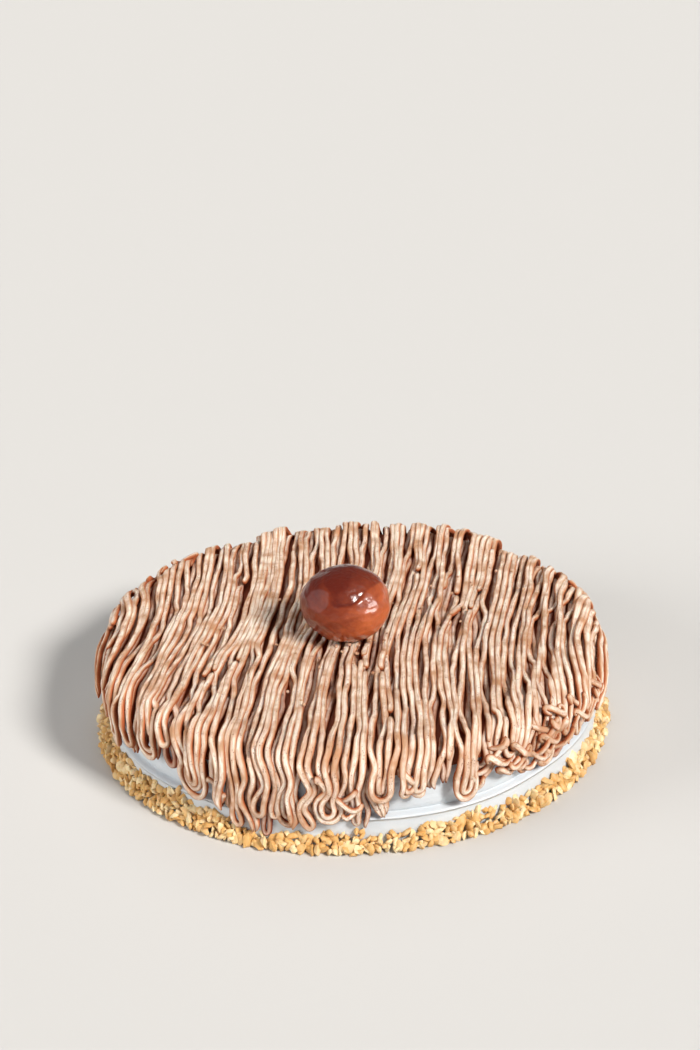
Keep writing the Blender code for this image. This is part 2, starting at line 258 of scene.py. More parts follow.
@dataclass(frozen=True)
class ChestnutCreamFinish:
    """Piped chestnut cream: matt, fine lines along each strand, small holes, painted shade and
    highlight.
    """

    # A painted highlight: the pale colour given to the strands' upward faces.
    crest_highlight: Colour = (0.96, 0.86, 0.74)
    colour: Colour = (0.64, 0.352, 0.203)
    # The strands' own second tone in patches, and also painted shade in the grooves of the fine
    # lines.
    warm: Colour = (0.54, 0.28, 0.15)
    # Painted shade: the dark red-brown of the strands' flanks and of the creases between them.
    contact_shade: Colour = (0.42, 0.10, 0.031)
    # Painted shade: the darkest colour, for the strands that lie low in the gaps and for the small
    # holes.
    deep: Colour = (0.24, 0.034, 0.009)
    patch_scale: float = 120.0
    lines_along: float = 13.0
    lines_round: float = 95.0
    from_place: float = 330.0
    hole_scale: float = 1050.0
    holed_scale: float = 190.0
    relief: float = 0.6 * MM

    def material(self) -> bpy.types.Material:
        """Builds the material, which reads the UV map and the attributes lift and crown for its
        painted shade and highlight.

        Returns:
            The material.
        """
        shader = Shader("chestnut_cream")
        place = shader.coordinates()
        along = shader.sum(
            shader.scaled(shader.coordinates("UV"), (self.lines_along, self.lines_round, 0.0)),
            shader.scaled(place, (self.from_place, 0.0, self.from_place)),
        )
        lift = shader.attribute("lift")
        crown = shader.attribute("crown")
        patches = shader.grain(place, self.patch_scale)
        lines = shader.grain(shader.scaled(along, (1.0, 0.12, 1.0)), 1.0, 3.0, 0.65)
        rubbed = shader.grain(along, 1.3, 3.0, 0.6)
        cells = {"Vector": place, "Scale": self.hole_scale}
        holes = shader.node("ShaderNodeTexVoronoi", {}, cells, "Distance").step(0.3, 0.17)
        pits = holes * shader.grain(place, self.holed_scale).step(0.5, 0.6)
        tone = shader.mix(patches.step(0.34, 0.66), self.colour, self.warm)
        # Painted highlight: where the surface looks up, the strands are made paler.
        tone = shader.mix(crown.step(0.54, 1.0) * patches.step(0.78, 0.35), tone, self.crest_highlight)
        # Painted shade: the grooves of the fine lines along the strands are darkened.
        tone = shader.mix(0.45 * lines.step(0.6, 0.4), tone, self.warm)
        # Painted shade: the flanks that turn away from above are darkened, as in the creases
        # between strands.
        tone = shader.mix(0.95 * crown.step(0.7, 0.06), tone, self.contact_shade)
        # Painted shade: strands that lie low over the cream, down in the gaps, are darkened.
        tone = shader.mix(0.95 * lift.step(0.62, 0.26), tone, self.deep)
        # Painted shade in the small holes.
        tone = shader.mix(0.55 * pits, tone, self.deep)
        shader.feed(
            Base_Color=tone,
            Roughness=0.55 + 0.2 * rubbed,
            Subsurface_Weight=0.12,
            Subsurface_Radius=(1.0, 0.4, 0.2),
            Subsurface_Scale=1.0 * MM,
            Specular_IOR_Level=0.2,
        )
        shader.bump(0.9 * lines + 0.4 * rubbed - 0.9 * pits, 1.0, self.relief)
        return shader.material


@dataclass(frozen=True)
class NutFinish:
    """Chopped toasted nuts: golden, each bit its own shade, darker where it is browned."""

    pale: Colour = (0.80, 0.63, 0.37)
    golden: Colour = (0.62, 0.36, 0.125)
    browned: Colour = (0.42, 0.175, 0.04)
    cloud_scale: float = 420.0
    spot_scale: float = 260.0
    grain_scale: float = 1500.0
    relief: float = 0.25 * MM

    def material(self) -> bpy.types.Material:
        """Builds the material, which reads the nuts' attribute tone.

        Returns:
            The material.
        """
        shader = Shader("chopped_nuts")
        place = shader.coordinates()
        cloud = shader.grain(place, self.cloud_scale, 3.0)
        toasted = (shader.attribute("tone") * 0.8 + cloud * 0.5).step(0.2, 0.85)
        spots = shader.grain(place, self.spot_scale).step(0.6, 0.75)
        colour = shader.mix(toasted, self.pale, self.golden)
        shader.feed(
            Base_Color=shader.mix(0.5 * spots, colour, self.browned),
            Roughness=0.38 + 0.25 * cloud,
            Subsurface_Weight=0.2,
            Subsurface_Radius=(1.0, 0.6, 0.25),
            Subsurface_Scale=1.2 * MM,
        )
        shader.bump(shader.grain(place, self.grain_scale, 3.0), 0.5, self.relief)
        return shader.material


@dataclass(frozen=True)
class GlazeFinish:
    """A chestnut candied in syrup: mahogany above, amber below, under a wet glaze."""

    mahogany: Colour = (0.095, 0.010, 0.004)
    chestnut: Colour = (0.215, 0.037, 0.012)
    amber: Colour = (0.47, 0.11, 0.033)
    vein_scale: float = 160.0
    fleck_scale: float = 520.0
    wet_scale: float = 230.0
    ripple_scale: float = 900.0
    relief: float = 0.6 * MM

    def material(self) -> bpy.types.Material:
        """Builds the material, which reads the chestnut's attribute for how dark it is: partly its
        own tone and partly painted shade.

        Returns:
            The material.
        """
        shader = Shader("candied_chestnut")
        place = shader.coordinates()
        tone_shade = shader.attribute("tone_and_shade")
        drawn = shader.scaled(place, (1.0, 0.45, 1.6))
        veins = shader.grain(drawn, self.vein_scale, 4.0, 0.6)
        flecks = shader.grain(place, self.fleck_scale, 3.0)
        depth = tone_shade + 0.55 * (veins - 0.5) + 0.12 * (flecks - 0.5)
        stops = [(0.12, self.amber), (0.45, self.chestnut), (0.85, self.mahogany)]
        shader.feed(
            Base_Color=shader.node("ShaderNodeValToRGB", {"stops": stops}, {0: depth}),
            Roughness=0.26 + 0.2 * flecks,
            Coat_Weight=0.75,
            Coat_Roughness=0.13,
            Coat_IOR=1.4,
            Specular_IOR_Level=0.25,
            Subsurface_Weight=0.12,
            Subsurface_Radius=(1.0, 0.25, 0.08),
            Subsurface_Scale=2.5 * MM,
        )
        wet = shader.grain(place, self.wet_scale, 3.0)
        shader.bump(wet + 0.45 * shader.grain(place, self.ripple_scale), 0.5, self.relief)
        return shader.material


class Bench:
    """The tools that the pieces are made with: each adds, shapes or finishes a mesh."""

    @staticmethod
    def clear() -> None:
        """Leaves edit mode and deselects everything."""
        if bpy.context.object and bpy.context.object.mode != "OBJECT":
            bpy.ops.object.mode_set(mode="OBJECT")
        bpy.ops.object.select_all(action="DESELECT")

    @staticmethod
    def pick(*things: bpy.types.Object) -> None:
        """Selects only these objects.

        Args:
            things: The objects, of which the first is made active.
        """
        Bench.clear()
        for thing in things:
            thing.select_set(True)
        bpy.context.view_layer.objects.active = things[0]

    @staticmethod
    def turned(name: str, outline: Sequence[tuple[float, float]], sides: int) -> bpy.types.Object:
        """Turns an outline into a closed round body, ring by ring.

        Args:
            name: Name of the object.
            outline: Radius and height of each ring, from the foot to the top.
            sides: How many sides the rings have.

        Returns:
            The body, closed by a flat fan below and above.
        """
        Bench.clear()
        radius, level = outline[0]
        bpy.ops.mesh.primitive_circle_add(
            vertices=sides, radius=radius, fill_type="TRIFAN", location=(0.0, 0.0, level)
        )
        body = bpy.context.object
        body.name = name
        bpy.ops.object.mode_set(mode="EDIT")
        bpy.ops.mesh.select_all(action="SELECT")
        bpy.ops.mesh.flip_normals()
        bpy.ops.mesh.select_all(action="DESELECT")
        bpy.ops.mesh.select_non_manifold()
        for (inner, below), (outer, above) in zip(outline, outline[1:]):
            bpy.ops.mesh.extrude_region_move(
                TRANSFORM_OT_translate={"value": (0.0, 0.0, above - below)}
            )
            scale = outer / inner
            bpy.ops.transform.resize(
                value=(scale, scale, 1.0), center_override=(0.0, 0.0, above)
            )
        bpy.ops.mesh.edge_face_add()
        bpy.ops.mesh.poke()
        bpy.ops.mesh.select_all(action="SELECT")
        bpy.ops.mesh.normals_make_consistent(inside=False)
        bpy.ops.object.mode_set(mode="OBJECT")
        Bench.settle(body)
        return body

    @staticmethod
    def settle(thing: bpy.types.Object) -> None:
        """Puts the object's place, turn and size into its mesh."""
        Bench.pick(thing)
        bpy.ops.object.transform_apply(location=True, rotation=True, scale=True)

    @staticmethod
    def points(thing: bpy.types.Object) -> np.ndarray:
        """The corners of a mesh.

        Args:
            thing: The mesh.

        Returns:
            Its corners, one to a row.
        """
        flat = np.empty(len(thing.data.vertices) * 3)
        thing.data.vertices.foreach_get("co", flat)
        return flat.reshape(-1, 3)

    @staticmethod
    def move(thing: bpy.types.Object, points: np.ndarray) -> None:
        """Moves the corners of a mesh to new places."""
        thing.data.vertices.foreach_set("co", points.ravel())
        thing.data.update()

    @staticmethod
    def note(thing: bpy.types.Object, name: str, numbers: np.ndarray) -> None:
        """Stores a number on each corner of a mesh, for its material to read."""
        layer = thing.data.attributes.new(name, "FLOAT", "POINT")
        layer.data.foreach_set("value", numbers.astype(np.float32))

    @staticmethod
    def roughen(thing: bpy.types.Object, depth: float, size: float) -> None:
        """Pushes a surface in and out by clouds.

        Args:
            thing: The mesh.
            depth: How far the surface moves between its extremes.
            size: Size of the clouds.
        """
        cloud = bpy.data.textures.new("cloud", "CLOUDS")
        cloud.noise_scale = size
        Bench.pick(thing)
        modifier = thing.modifiers.new("rough", "DISPLACE")
        modifier.texture = cloud
        modifier.texture_coords = "LOCAL"
        modifier.strength = depth
        modifier.mid_level = 0.5
        bpy.ops.object.modifier_apply(modifier=modifier.name)
        bpy.data.textures.remove(cloud)

    @staticmethod
    def join(name: str, things: Sequence[bpy.types.Object]) -> bpy.types.Object:
        """Joins meshes into one piece.

        Args:
            name: Name of the piece.
            things: The meshes.

        Returns:
            The piece.
        """
        Bench.pick(*things)
        if len(things) > 1:
            bpy.ops.object.join()
        joined = bpy.context.object
        joined.name = name
        return joined

    @staticmethod
    def dress(
        piece: bpy.types.Object, material: bpy.types.Material, node: str, slot: str
    ) -> bpy.types.Object:
        """Gives a piece its material and hides the imported part of the node that it stands for.

        Args:
            piece: The finished mesh.
            material: Its material.
            node: The node of the frame that it replaces.
            slot: Not used.

        Returns:
            The piece.
        """
        piece.data.materials.clear()
        piece.data.materials.append(material)
        Bench.pick(piece)
        bpy.ops.object.shade_smooth()
        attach(piece, "root")
        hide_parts(node)
        log.info("%s: %d faces", piece.name, len(piece.data.polygons))
        return piece


@dataclass(frozen=True)
class Swell:
    """A smooth bump round the cake at an azimuth, in degrees from +X."""

    azimuth: float
    half_width: float
    size: float

    def at(self, azimuth: float) -> float:
        """Its height at an azimuth in radians."""
        away = (math.degrees(azimuth) - self.azimuth + 180.0) % 360.0 - 180.0
        return self.size * math.exp(-0.5 * (away / self.half_width) ** 2)


@dataclass(frozen=True)
class CakeForm:
    """The cake's sizes, and how what is laid out in the flat lies on it."""

    radius: float = 98.0 * MM
    top: float = 36.8 * MM
    shoulder: float = 8.0 * MM
    ledge: float = 13.6 * MM
    laid_depth: float = 2.6 * MM
    side_hem: float = 19.0 * MM
    front_hem: float = 17.0 * MM
    hem_ripple: float = 1.2 * MM
    lobes: tuple[Swell, ...] = (
        Swell(256.0, 6.5, 10.0 * MM),
        Swell(270.0, 3.0, 4.0 * MM),
        Swell(274.6, 1.6, -4.5 * MM),
        Swell(279.5, 3.0, 8.0 * MM),
        Swell(310.0, 4.0, -4.0 * MM),
        Swell(203.0, 6.0, -4.5 * MM),
        Swell(96.0, 7.0, 6.0 * MM),
        Swell(64.0, 4.0, 4.0 * MM),
        Swell(125.0, 5.0, -3.0 * MM),
    )
    nut_band: float = 7.5 * MM
    nut_gap: float = 2.6 * MM
    nut_heaps: tuple[Swell, ...] = (
        Swell(232.0, 14.0, 5.0 * MM),
        Swell(300.0, 6.0, 2.5 * MM),
        Swell(140.0, 10.0, 3.0 * MM),
        Swell(40.0, 8.0, 2.0 * MM),
    )

    @property
    def flat_radius(self) -> float:
        """Radius of the flat part of the top."""
        return self.radius - self.shoulder

    @property
    def rounding(self) -> float:
        """Radius on which the strands turn down over the edge."""
        return self.shoulder + self.laid_depth

    @property
    def wall_start(self) -> float:
        """The way over the cake from its middle to the top of its upright side."""
        return self.flat_radius + self.rounding * math.pi / 2

    @property
    def shoulder_level(self) -> float:
        """Height at which the side starts to round over."""
        return self.top - self.shoulder

    def hem_height(self, azimuth: float) -> float:
        """Height above the table where the strands end.

        Args:
            azimuth: Where round the cake, in radians.

        Returns:
            The height.
        """
        front_share = abs(math.sin(azimuth)) ** 0.7
        plain = self.side_hem + (self.front_hem - self.side_hem) * front_share
        ripple = self.hem_ripple * math.sin(5.0 * azimuth + 0.6)
        return plain + ripple - sum(lobe.at(azimuth) for lobe in self.lobes)

    def hem_reach(self, azimuth: float) -> float:
        """The way over the cake from its middle to the hem."""
        return self.wall_start + self.shoulder_level - self.hem_height(azimuth)

    def nut_height(self, azimuth: float) -> float:
        """How far the nuts reach up the side, kept under the strands."""
        heaped = self.nut_band + sum(heap.at(azimuth) for heap in self.nut_heaps)
        return min(heaped, self.hem_height(azimuth) - self.nut_gap)

    def drape(self, flat: np.ndarray) -> np.ndarray:
        """Lays points from the flat over the cake.

        Args:
            flat: Rows of across, along and height over the cream.

        Returns:
            Rows of X, Y and Z.
        """
        across, along, height = flat.T
        reach = np.maximum(np.hypot(across, along), 1e-9)
        turn = np.clip((reach - self.flat_radius) / self.rounding, 0.0, math.pi / 2)
        fall = np.maximum(reach - self.wall_start, 0.0)
        radius = np.minimum(reach, self.flat_radius) + (self.shoulder + height) * np.sin(turn)
        level = self.shoulder_level + (self.shoulder + height) * np.cos(turn) - fall
        return np.column_stack((radius * across / reach, radius * along / reach, level))


@dataclass(frozen=True)
class Band:
    """A low ridge or groove that runs round the side, at a height from the ledge."""

    level: float
    half_height: float
    size: float

    def at(self, above: np.ndarray) -> np.ndarray:
        """How far it stands out at heights above the ledge."""
        return self.size * np.exp(-(((above - self.level) / self.half_height) ** 2))


@dataclass
class CreamBody:
    """The cream-coated cake: a foot, a spatula ledge, an upright side and a round edge."""

    form: CakeForm
    sides: int = 288
    foot: float = 1.2 * MM
    foot_rings: int = 13
    ledge_rings: int = 9
    ledge_step: float = 0.3 * MM
    side_rings: int = 12
    edge_rings: int = 10
    set_back: float = 0.9 * MM
    ledge_softness: float = 0.16 * MM
    lip: Band = Band(-0.9 * MM, 0.7 * MM, 0.45 * MM)
    belly: Band = Band(9.0 * MM, 5.0 * MM, 0.7 * MM)
    groove: Band = Band(0.5 * MM, 0.55 * MM, -0.8 * MM)
    ridge: Band = Band(4.0 * MM, 0.6 * MM, 0.35 * MM)
    unevenness: float = 0.55 * MM
    ledge_wave: Band = Band(0.0, 6.0 * MM, 1.1 * MM)
    finish: CreamFinish = field(default_factory=CreamFinish)

    def outline(self) -> list[tuple[float, float]]:
        """The plain body's outline.

        Returns:
            Radius and height of each ring, from the foot to the top.
        """
        form = self.form
        rings = [
            (form.radius + self.foot, form.ledge * step / self.foot_rings)
            for step in range(self.foot_rings)
        ]
        half = self.ledge_rings // 2
        rings += [
            (form.radius, form.ledge + step * self.ledge_step) for step in range(-half, half + 1)
        ]
        start = form.ledge + half * self.ledge_step
        for step in range(1, self.side_rings + 1):
            share = step / self.side_rings
            rings.append((form.radius, start + share * (form.shoulder_level - start)))
        for step in range(1, self.edge_rings + 1):
            turn = math.pi / 2 * step / self.edge_rings
            rings.append(
                (
                    form.flat_radius + form.shoulder * math.cos(turn),
                    form.shoulder_level + form.shoulder * math.sin(turn),
                )
            )
        return rings

    def smoothed(self, points: np.ndarray) -> np.ndarray:
        """Gives the plain body its ledge, the spatula's marks and its unevenness.

        Args:
            points: Its corners.

        Returns:
            Their new places.
        """
        form = self.form
        radius = np.hypot(points[:, 0], points[:, 1])
        azimuth = np.arctan2(points[:, 1], points[:, 0])
        level = points[:, 2]
        above = level - form.ledge
        side = (level < form.shoulder_level + 1e-6) & (radius > 0.9 * form.radius)
        upper = 1.0 / (1.0 + np.exp(-above / self.ledge_softness))
        foot = self.foot * (1.0 - 0.35 * np.clip(level / form.ledge, 0.0, 1.0))
        lower_radius = form.radius + foot + self.lip.at(above)
        marks = self.belly.at(above) + self.groove.at(above) + self.ridge.at(above)
        upper_radius = form.radius - self.set_back + marks
        uneven = self.unevenness * np.array(
            [
                drift(math.cos(a) * 2.4, math.sin(a) * 2.4, z / (16.0 * MM))
                for a, z in zip(azimuth, level)
            ]
        )
        fading = np.clip((form.shoulder_level - level) / (5.0 * MM), 0.0, 1.0)
        spread = lower_radius * (1.0 - upper) + upper_radius * upper + uneven
        shaped = np.where(side, form.radius + (spread - form.radius) * fading, radius)
        wave = np.array([drift(math.cos(a) * 1.3, math.sin(a) * 1.3, 7.0) for a in azimuth])
        sway = wave * self.ledge_wave.at(above) * side * np.clip(level / (3.0 * MM), 0.0, 1.0)
        scale = shaped / np.maximum(radius, 1e-9)
        return np.column_stack((points[:, 0] * scale, points[:, 1] * scale, level + sway))

    def build(self) -> bpy.types.Object:
        """Builds and dresses the body.

        Returns:
            The body.
        """
        body = Bench.turned("cream_body", self.outline(), self.sides)
        Bench.move(body, self.smoothed(Bench.points(body)))
        return Bench.dress(body, self.finish.material(), "cream_cake", "whipped_cream")


@dataclass
class NutRing:
    """The chopped nuts round the foot: a few shapes, copied and turned at random."""

    form: CakeForm
    shapes: int = 7
    spacing: float = 2.05 * MM
    smallest: float = 2.2 * MM
    largest: float = 3.7 * MM
    spread: float = 4.6 * MM
    lowest_band: float = 2.5 * MM
    clearance: float = 0.6 * MM
    tries: int = 28000
    seed: int = 23
    faces: list[tuple[int, ...]] = field(default_factory=list, init=False)
    finish: NutFinish = field(default_factory=NutFinish)

    def model(self, index: int, rng: random.Random) -> np.ndarray:
        """Models one chopped nut about the origin, one unit long.

        Args:
            index: Which of the shapes it is.
            rng: The source of its unevenness.

        Returns:
            Its corners. All the shapes have the same faces, which are kept.
        """
        Bench.clear()
        bpy.ops.mesh.primitive_cube_add(size=1.0)
        nut = bpy.context.object
        bpy.ops.object.mode_set(mode="EDIT")
        bpy.ops.mesh.select_all(action="SELECT")
        bpy.ops.mesh.subdivide(number_cuts=1, smoothness=1.0)
        bpy.ops.object.mode_set(mode="OBJECT")
        points = Bench.points(nut)
        cuts = [
            (Vector([rng.gauss(0.0, 1.0) for _ in range(3)]).normalized(), rng.uniform(0.27, 0.42))
            for _ in range(3)
        ]
        wide, thick = self.flatness(index, 0.72), self.flatness(index, 0.6)
        shaped = []
        for point in points:
            way = Vector(point)
            way *= 1.0 + 0.3 * noise.noise(way * 1.7 + Vector((index * 9.0, 2.0, 5.0)))
            for facing, distance in cuts:
                way -= facing * max(way.dot(facing) - distance, 0.0)
            shaped.append((way.x, way.y * wide, way.z * thick))
        self.faces = [tuple(face.vertices) for face in nut.data.polygons]
        bpy.data.objects.remove(nut)
        return np.array(shaped)

    @staticmethod
    def flatness(index: int, middle: float) -> float:
        """A share near the middle that differs from one shape to the next."""
        return middle * (1.0 + 0.22 * math.sin(index * 2.3 + middle * 9.0))

    def places(self, rng: random.Random) -> list[tuple[float, float, float]]:
        """Scatters the nuts, none nearer to another than the spacing.

        Args:
            rng: The source of their places.

        Returns:
            Where each one lies: azimuth, distance out from the side and height.
        """
        found: list[tuple[float, float, float]] = []
        cells: dict[tuple[int, int], list[tuple[float, float]]] = {}
        around = math.tau * self.form.radius
        for _ in range(self.tries):
            arc = rng.uniform(0.0, around)
            azimuth = arc / self.form.radius
            band = self.form.nut_height(azimuth) * (0.82 + 0.25 * drift(arc / (9 * MM), 0.0, 3.0))
            band = max(band, self.lowest_band)
            way = rng.uniform(0.0, self.spread + band)
            cell = (int(arc / self.spacing), int(way / self.spacing))
            near = [
                other
                for column in (-1, 0, 1)
                for row in (-1, 0, 1)
                for other in cells.get((cell[0] + column, cell[1] + row), ())
            ]
            if any(math.hypot(arc - a, way - w) < self.spacing for a, w in near):
                continue
            if way < self.spread and rng.random() < 0.35 * (1.0 - way / self.spread):
                continue
            cells.setdefault(cell, []).append((arc, way))
            share = way / (self.spread + band)
            out = self.spread * (1.0 - share) ** 0.75
            found.append((azimuth, out, share * band))
        return found

    def build(self) -> bpy.types.Object:
        """Builds and dresses the ring.

        Returns:
            The ring.
        """
        rng = random.Random(self.seed)
        shapes = [self.model(index, rng) for index in range(self.shapes)]
        corners, faces, tones = [], [], []
        for azimuth, out, height in self.places(rng):
            size = rng.uniform(self.smallest, self.largest)
            turn = Matrix.Rotation(rng.uniform(0, math.tau), 3, "X")
            turn = turn @ Matrix.Rotation(rng.uniform(0, math.tau), 3, "Y")
            turn = turn @ Matrix.Rotation(rng.uniform(0, math.tau), 3, "Z")
            nut = rng.choice(shapes) * size @ np.array(turn).T
            radius = self.form.radius + self.clearance + out
            nut[:, 0] += radius * math.cos(azimuth)
            nut[:, 1] += radius * math.sin(azimuth)
            nut[:, 2] += height - min(nut[:, 2].min() + height, 0.0)
            start = len(corners) * len(nut)
            corners.append(nut)
            faces.extend(tuple(start + corner for corner in face) for face in self.faces)
            tones.append(np.full(len(nut), rng.random()))
        Bench.clear()
        bpy.ops.mesh.primitive_cube_add(size=1.0)
        ring = bpy.context.object
        ring.name = "chopped_nuts"
        ring.data.clear_geometry()
        ring.data.from_pydata(np.concatenate(corners).tolist(), [], faces)
        Bench.note(ring, "tone", np.concatenate(tones))
        Bench.dress(ring, self.finish.material(), "cream_cake", "whipped_cream")
        bpy.ops.object.shade_smooth_by_angle(angle=math.radians(70.0))
        return ring


@dataclass
class Run:
    """The middle line of one piped strand in the flat, as across, along, height, radius."""

    points: list[tuple[float, float, float, float]] = field(default_factory=list)


class End(Enum):
    """How a group of strands ends at the hem."""

    NEST = "strands turn back into their mirrored neighbours"
    TIP = "strands run together into a point"
    LOOSE = "a strand ends by itself"


@dataclass(frozen=True)
class Layer:
    """One layer of strands: how many, how high they lie and how they bundle and end."""

    name: str
    count: int
    seed: int
    level: float
    rise: float
    bundle: float
    squeeze: float
    sway: float
    short: tuple[float, float]
    short_share: float
    lowest: float
    pieces: int
    sides: int


@dataclass(frozen=True)
class Ribbon:
    """A wide band of strands that lie close together on the top."""

    across: float
    half_width: float
    near: float
    far: float

    def share(self, across: float, along: float) -> float:
        """How much a place belongs to it.

        Args:
            across: The place across.
            along: The place along.

        Returns:
            A share from 0 to 1.
        """
        beside = smooth(abs(across - self.across), self.half_width + 1.0 * MM, self.half_width)
        ahead = smooth(along, self.near, self.near + 12.0 * MM)
        return beside * ahead * smooth(along, self.far + 10.0 * MM, self.far)


@dataclass(frozen=True)
class Scribble:
    """A strand crumpled up on the cake: where it lies, its size and its folds."""

    azimuth: float
    reach: float
    wide: float
    long: float
    folds: float
    level: float = 5.2 * MM
    slant: float = 0.0
    start: float = 0.0


@dataclass(frozen=True)
class TornSpot:
    """A place on the top where strands are broken, how wide it is and how many break."""

    across: float
    along: float
    spread: float
    count: int


@dataclass
class Group:
    """Neighbouring strands that end together."""

    kind: End
    members: list[int]
    limit: float = 0.0
    sway: float = 0.0
    wave: float = 12.0 * MM
    phase: float = 0.0
    lift: float = 0.0
    opening: float = 1.5 * MM
    waist: float = 9.0 * MM


@dataclass
class PipedStrands:
    """The strands of chestnut cream: where each one lies, and the meshes swept on them."""

    form: CakeForm
    width: float = 2.5 * MM
    step: float = 1.25 * MM
    lowest: float = 1.4 * MM
    hang_share: float = 0.93
    fan_share: float = 0.11
    most_steps: int = 400
    fewest_points: int = 8
    chestnut: tuple[float, float] = (-0.4 * MM, -10.3 * MM)
    under_chestnut: float = 3.3 * MM
    outermost: float = 107.5 * MM
    layers: tuple[Layer, ...] = (
        Layer(
            name="below", count=84, seed=11, level=1.75 * MM, rise=0.5 * MM, bundle=12.0 * MM,
            squeeze=0.22, sway=1.3 * MM, short=(2.0 * MM, 6.0 * MM), short_share=0.5,
            lowest=1.4 * MM, pieces=2, sides=8,
        ),
        Layer(
            name="above", count=86, seed=5, level=3.9 * MM, rise=2.0 * MM, bundle=8.8 * MM,
            squeeze=0.48, sway=2.1 * MM, short=(4.0 * MM, 15.0 * MM), short_share=0.42,
            lowest=2.5 * MM, pieces=3, sides=10,
        ),
    )
    endings: tuple[tuple[End, int, float], ...] = (
        (End.NEST, 2, 0.30),
        (End.NEST, 4, 0.22),
        (End.NEST, 6, 0.05),
        (End.TIP, 2, 0.16),
        (End.TIP, 3, 0.16),
        (End.TIP, 4, 0.07),
        (End.LOOSE, 1, 0.10),
    )
    tangled_arc: tuple[float, float] = (286.0, 350.0)
    ribbons: tuple[Ribbon, ...] = (
        Ribbon(-38.0 * MM, 8.0 * MM, -30.0 * MM, 110.0 * MM),
        Ribbon(-20.0 * MM, 6.0 * MM, -48.0 * MM, -14.0 * MM),
        Ribbon(47.0 * MM, 6.5 * MM, 10.0 * MM, 78.0 * MM),
        Ribbon(9.0 * MM, 4.5 * MM, -84.0 * MM, -40.0 * MM),
    )
    # Each has its azimuth, reach, half width, length and folds, then level, slant and start.
    scribbles: tuple[Scribble, ...] = (
        Scribble(302.0, 108.0 * MM, 3.0 * MM, 8.0 * MM, 1.3, 5.0 * MM, 1.0 * MM, 0.3),
        Scribble(307.5, 102.0 * MM, 5.5 * MM, 8.0 * MM, 1.4, 5.8 * MM, 5.0 * MM),
        Scribble(313.0, 104.0 * MM, 5.0 * MM, 11.0 * MM, 1.9, 6.0 * MM, -5.0 * MM, 0.4),
        Scribble(322.0, 103.0 * MM, 5.0 * MM, 11.0 * MM, 2.3, 5.4 * MM, 5.0 * MM, 0.7),
        Scribble(328.0, 106.0 * MM, 4.6 * MM, 9.0 * MM, 1.5, 5.2 * MM, -5.0 * MM, 0.2),
        Scribble(344.0, 102.0 * MM, 4.4 * MM, 13.0 * MM, 3.6, 4.8 * MM, 1.0 * MM),
        Scribble(271.0, 101.0 * MM, 4.0 * MM, 11.0 * MM, 0.9, 5.6 * MM, 2.0 * MM, 0.3),
        Scribble(275.0, 110.0 * MM, 4.2 * MM, 11.0 * MM, 1.7, 5.2 * MM, 3.0 * MM, 0.1),
        Scribble(247.0, 112.0 * MM, 3.2 * MM, 10.0 * MM, 1.2, 4.8 * MM, 4.0 * MM, 0.6),
        Scribble(288.0, 103.0 * MM, 3.2 * MM, 12.0 * MM, 2.1, 5.0 * MM, 3.0 * MM, 0.3),
        Scribble(318.0, 108.0 * MM, 4.4 * MM, 8.0 * MM, 1.6, 5.6 * MM, -4.0 * MM, 0.15),
        Scribble(309.5, 107.0 * MM, 4.8 * MM, 7.0 * MM, 1.5, 5.2 * MM, 4.0 * MM, 0.6),
        Scribble(334.0, 101.0 * MM, 4.4 * MM, 10.0 * MM, 1.9, 5.4 * MM, 3.0 * MM, 0.5),
        Scribble(325.0, 99.0 * MM, 3.8 * MM, 9.0 * MM, 2.2, 6.4 * MM, -2.0 * MM, 0.35),
        Scribble(152.0, 97.0 * MM, 5.4 * MM, 9.0 * MM, 2.1, 5.4 * MM, -2.0 * MM, 0.2),
        Scribble(145.0, 93.0 * MM, 4.6 * MM, 9.0 * MM, 1.6, 5.8 * MM, 4.0 * MM, 0.5),
        Scribble(24.0, 98.0 * MM, 3.6 * MM, 8.0 * MM, 1.3, 5.4 * MM, 3.0 * MM, 0.1),
        Scribble(70.0, 106.0 * MM, 4.4 * MM, 10.0 * MM, 1.7, 4.8 * MM, -3.0 * MM, 0.4),
        Scribble(112.0, 108.0 * MM, 3.6 * MM, 11.0 * MM, 2.2, 4.6 * MM, 2.0 * MM, 0.9),
    )
    torn_spots: tuple[TornSpot, ...] = (
        TornSpot(40.0 * MM, 24.0 * MM, 15.0 * MM, 9),
        TornSpot(6.0 * MM, -24.0 * MM, 7.0 * MM, 3),
        TornSpot(-34.0 * MM, -36.0 * MM, 14.0 * MM, 4),
        TornSpot(0.0, 0.0, 75.0 * MM, 9),
    )
    torn_reach: float = 82.0 * MM
    tear_seed: int = 7
    hung_from: float = 99.0 * MM
    hung_arc: float = 25.0
    unevenness: tuple[tuple[float, float], ...] = ((0.42 * MM, 3.4 * MM), (0.2 * MM, 1.3 * MM))
    lift_span: float = 6.0 * MM
    cream_gap: float = 0.15 * MM
    crest_cut: float = 0.35 * MM
    core_depth: float = 0.9 * MM
    core_foot: float = 5.0 * MM
    core_rings: int = 8
    core_sides: int = 128
    crumb_reach: float = 84.0 * MM
    crumb_size: tuple[float, float] = (0.35 * MM, 0.85 * MM)
    crumb_seed: int = 41
    finish: ChestnutCreamFinish = field(default_factory=ChestnutCreamFinish)

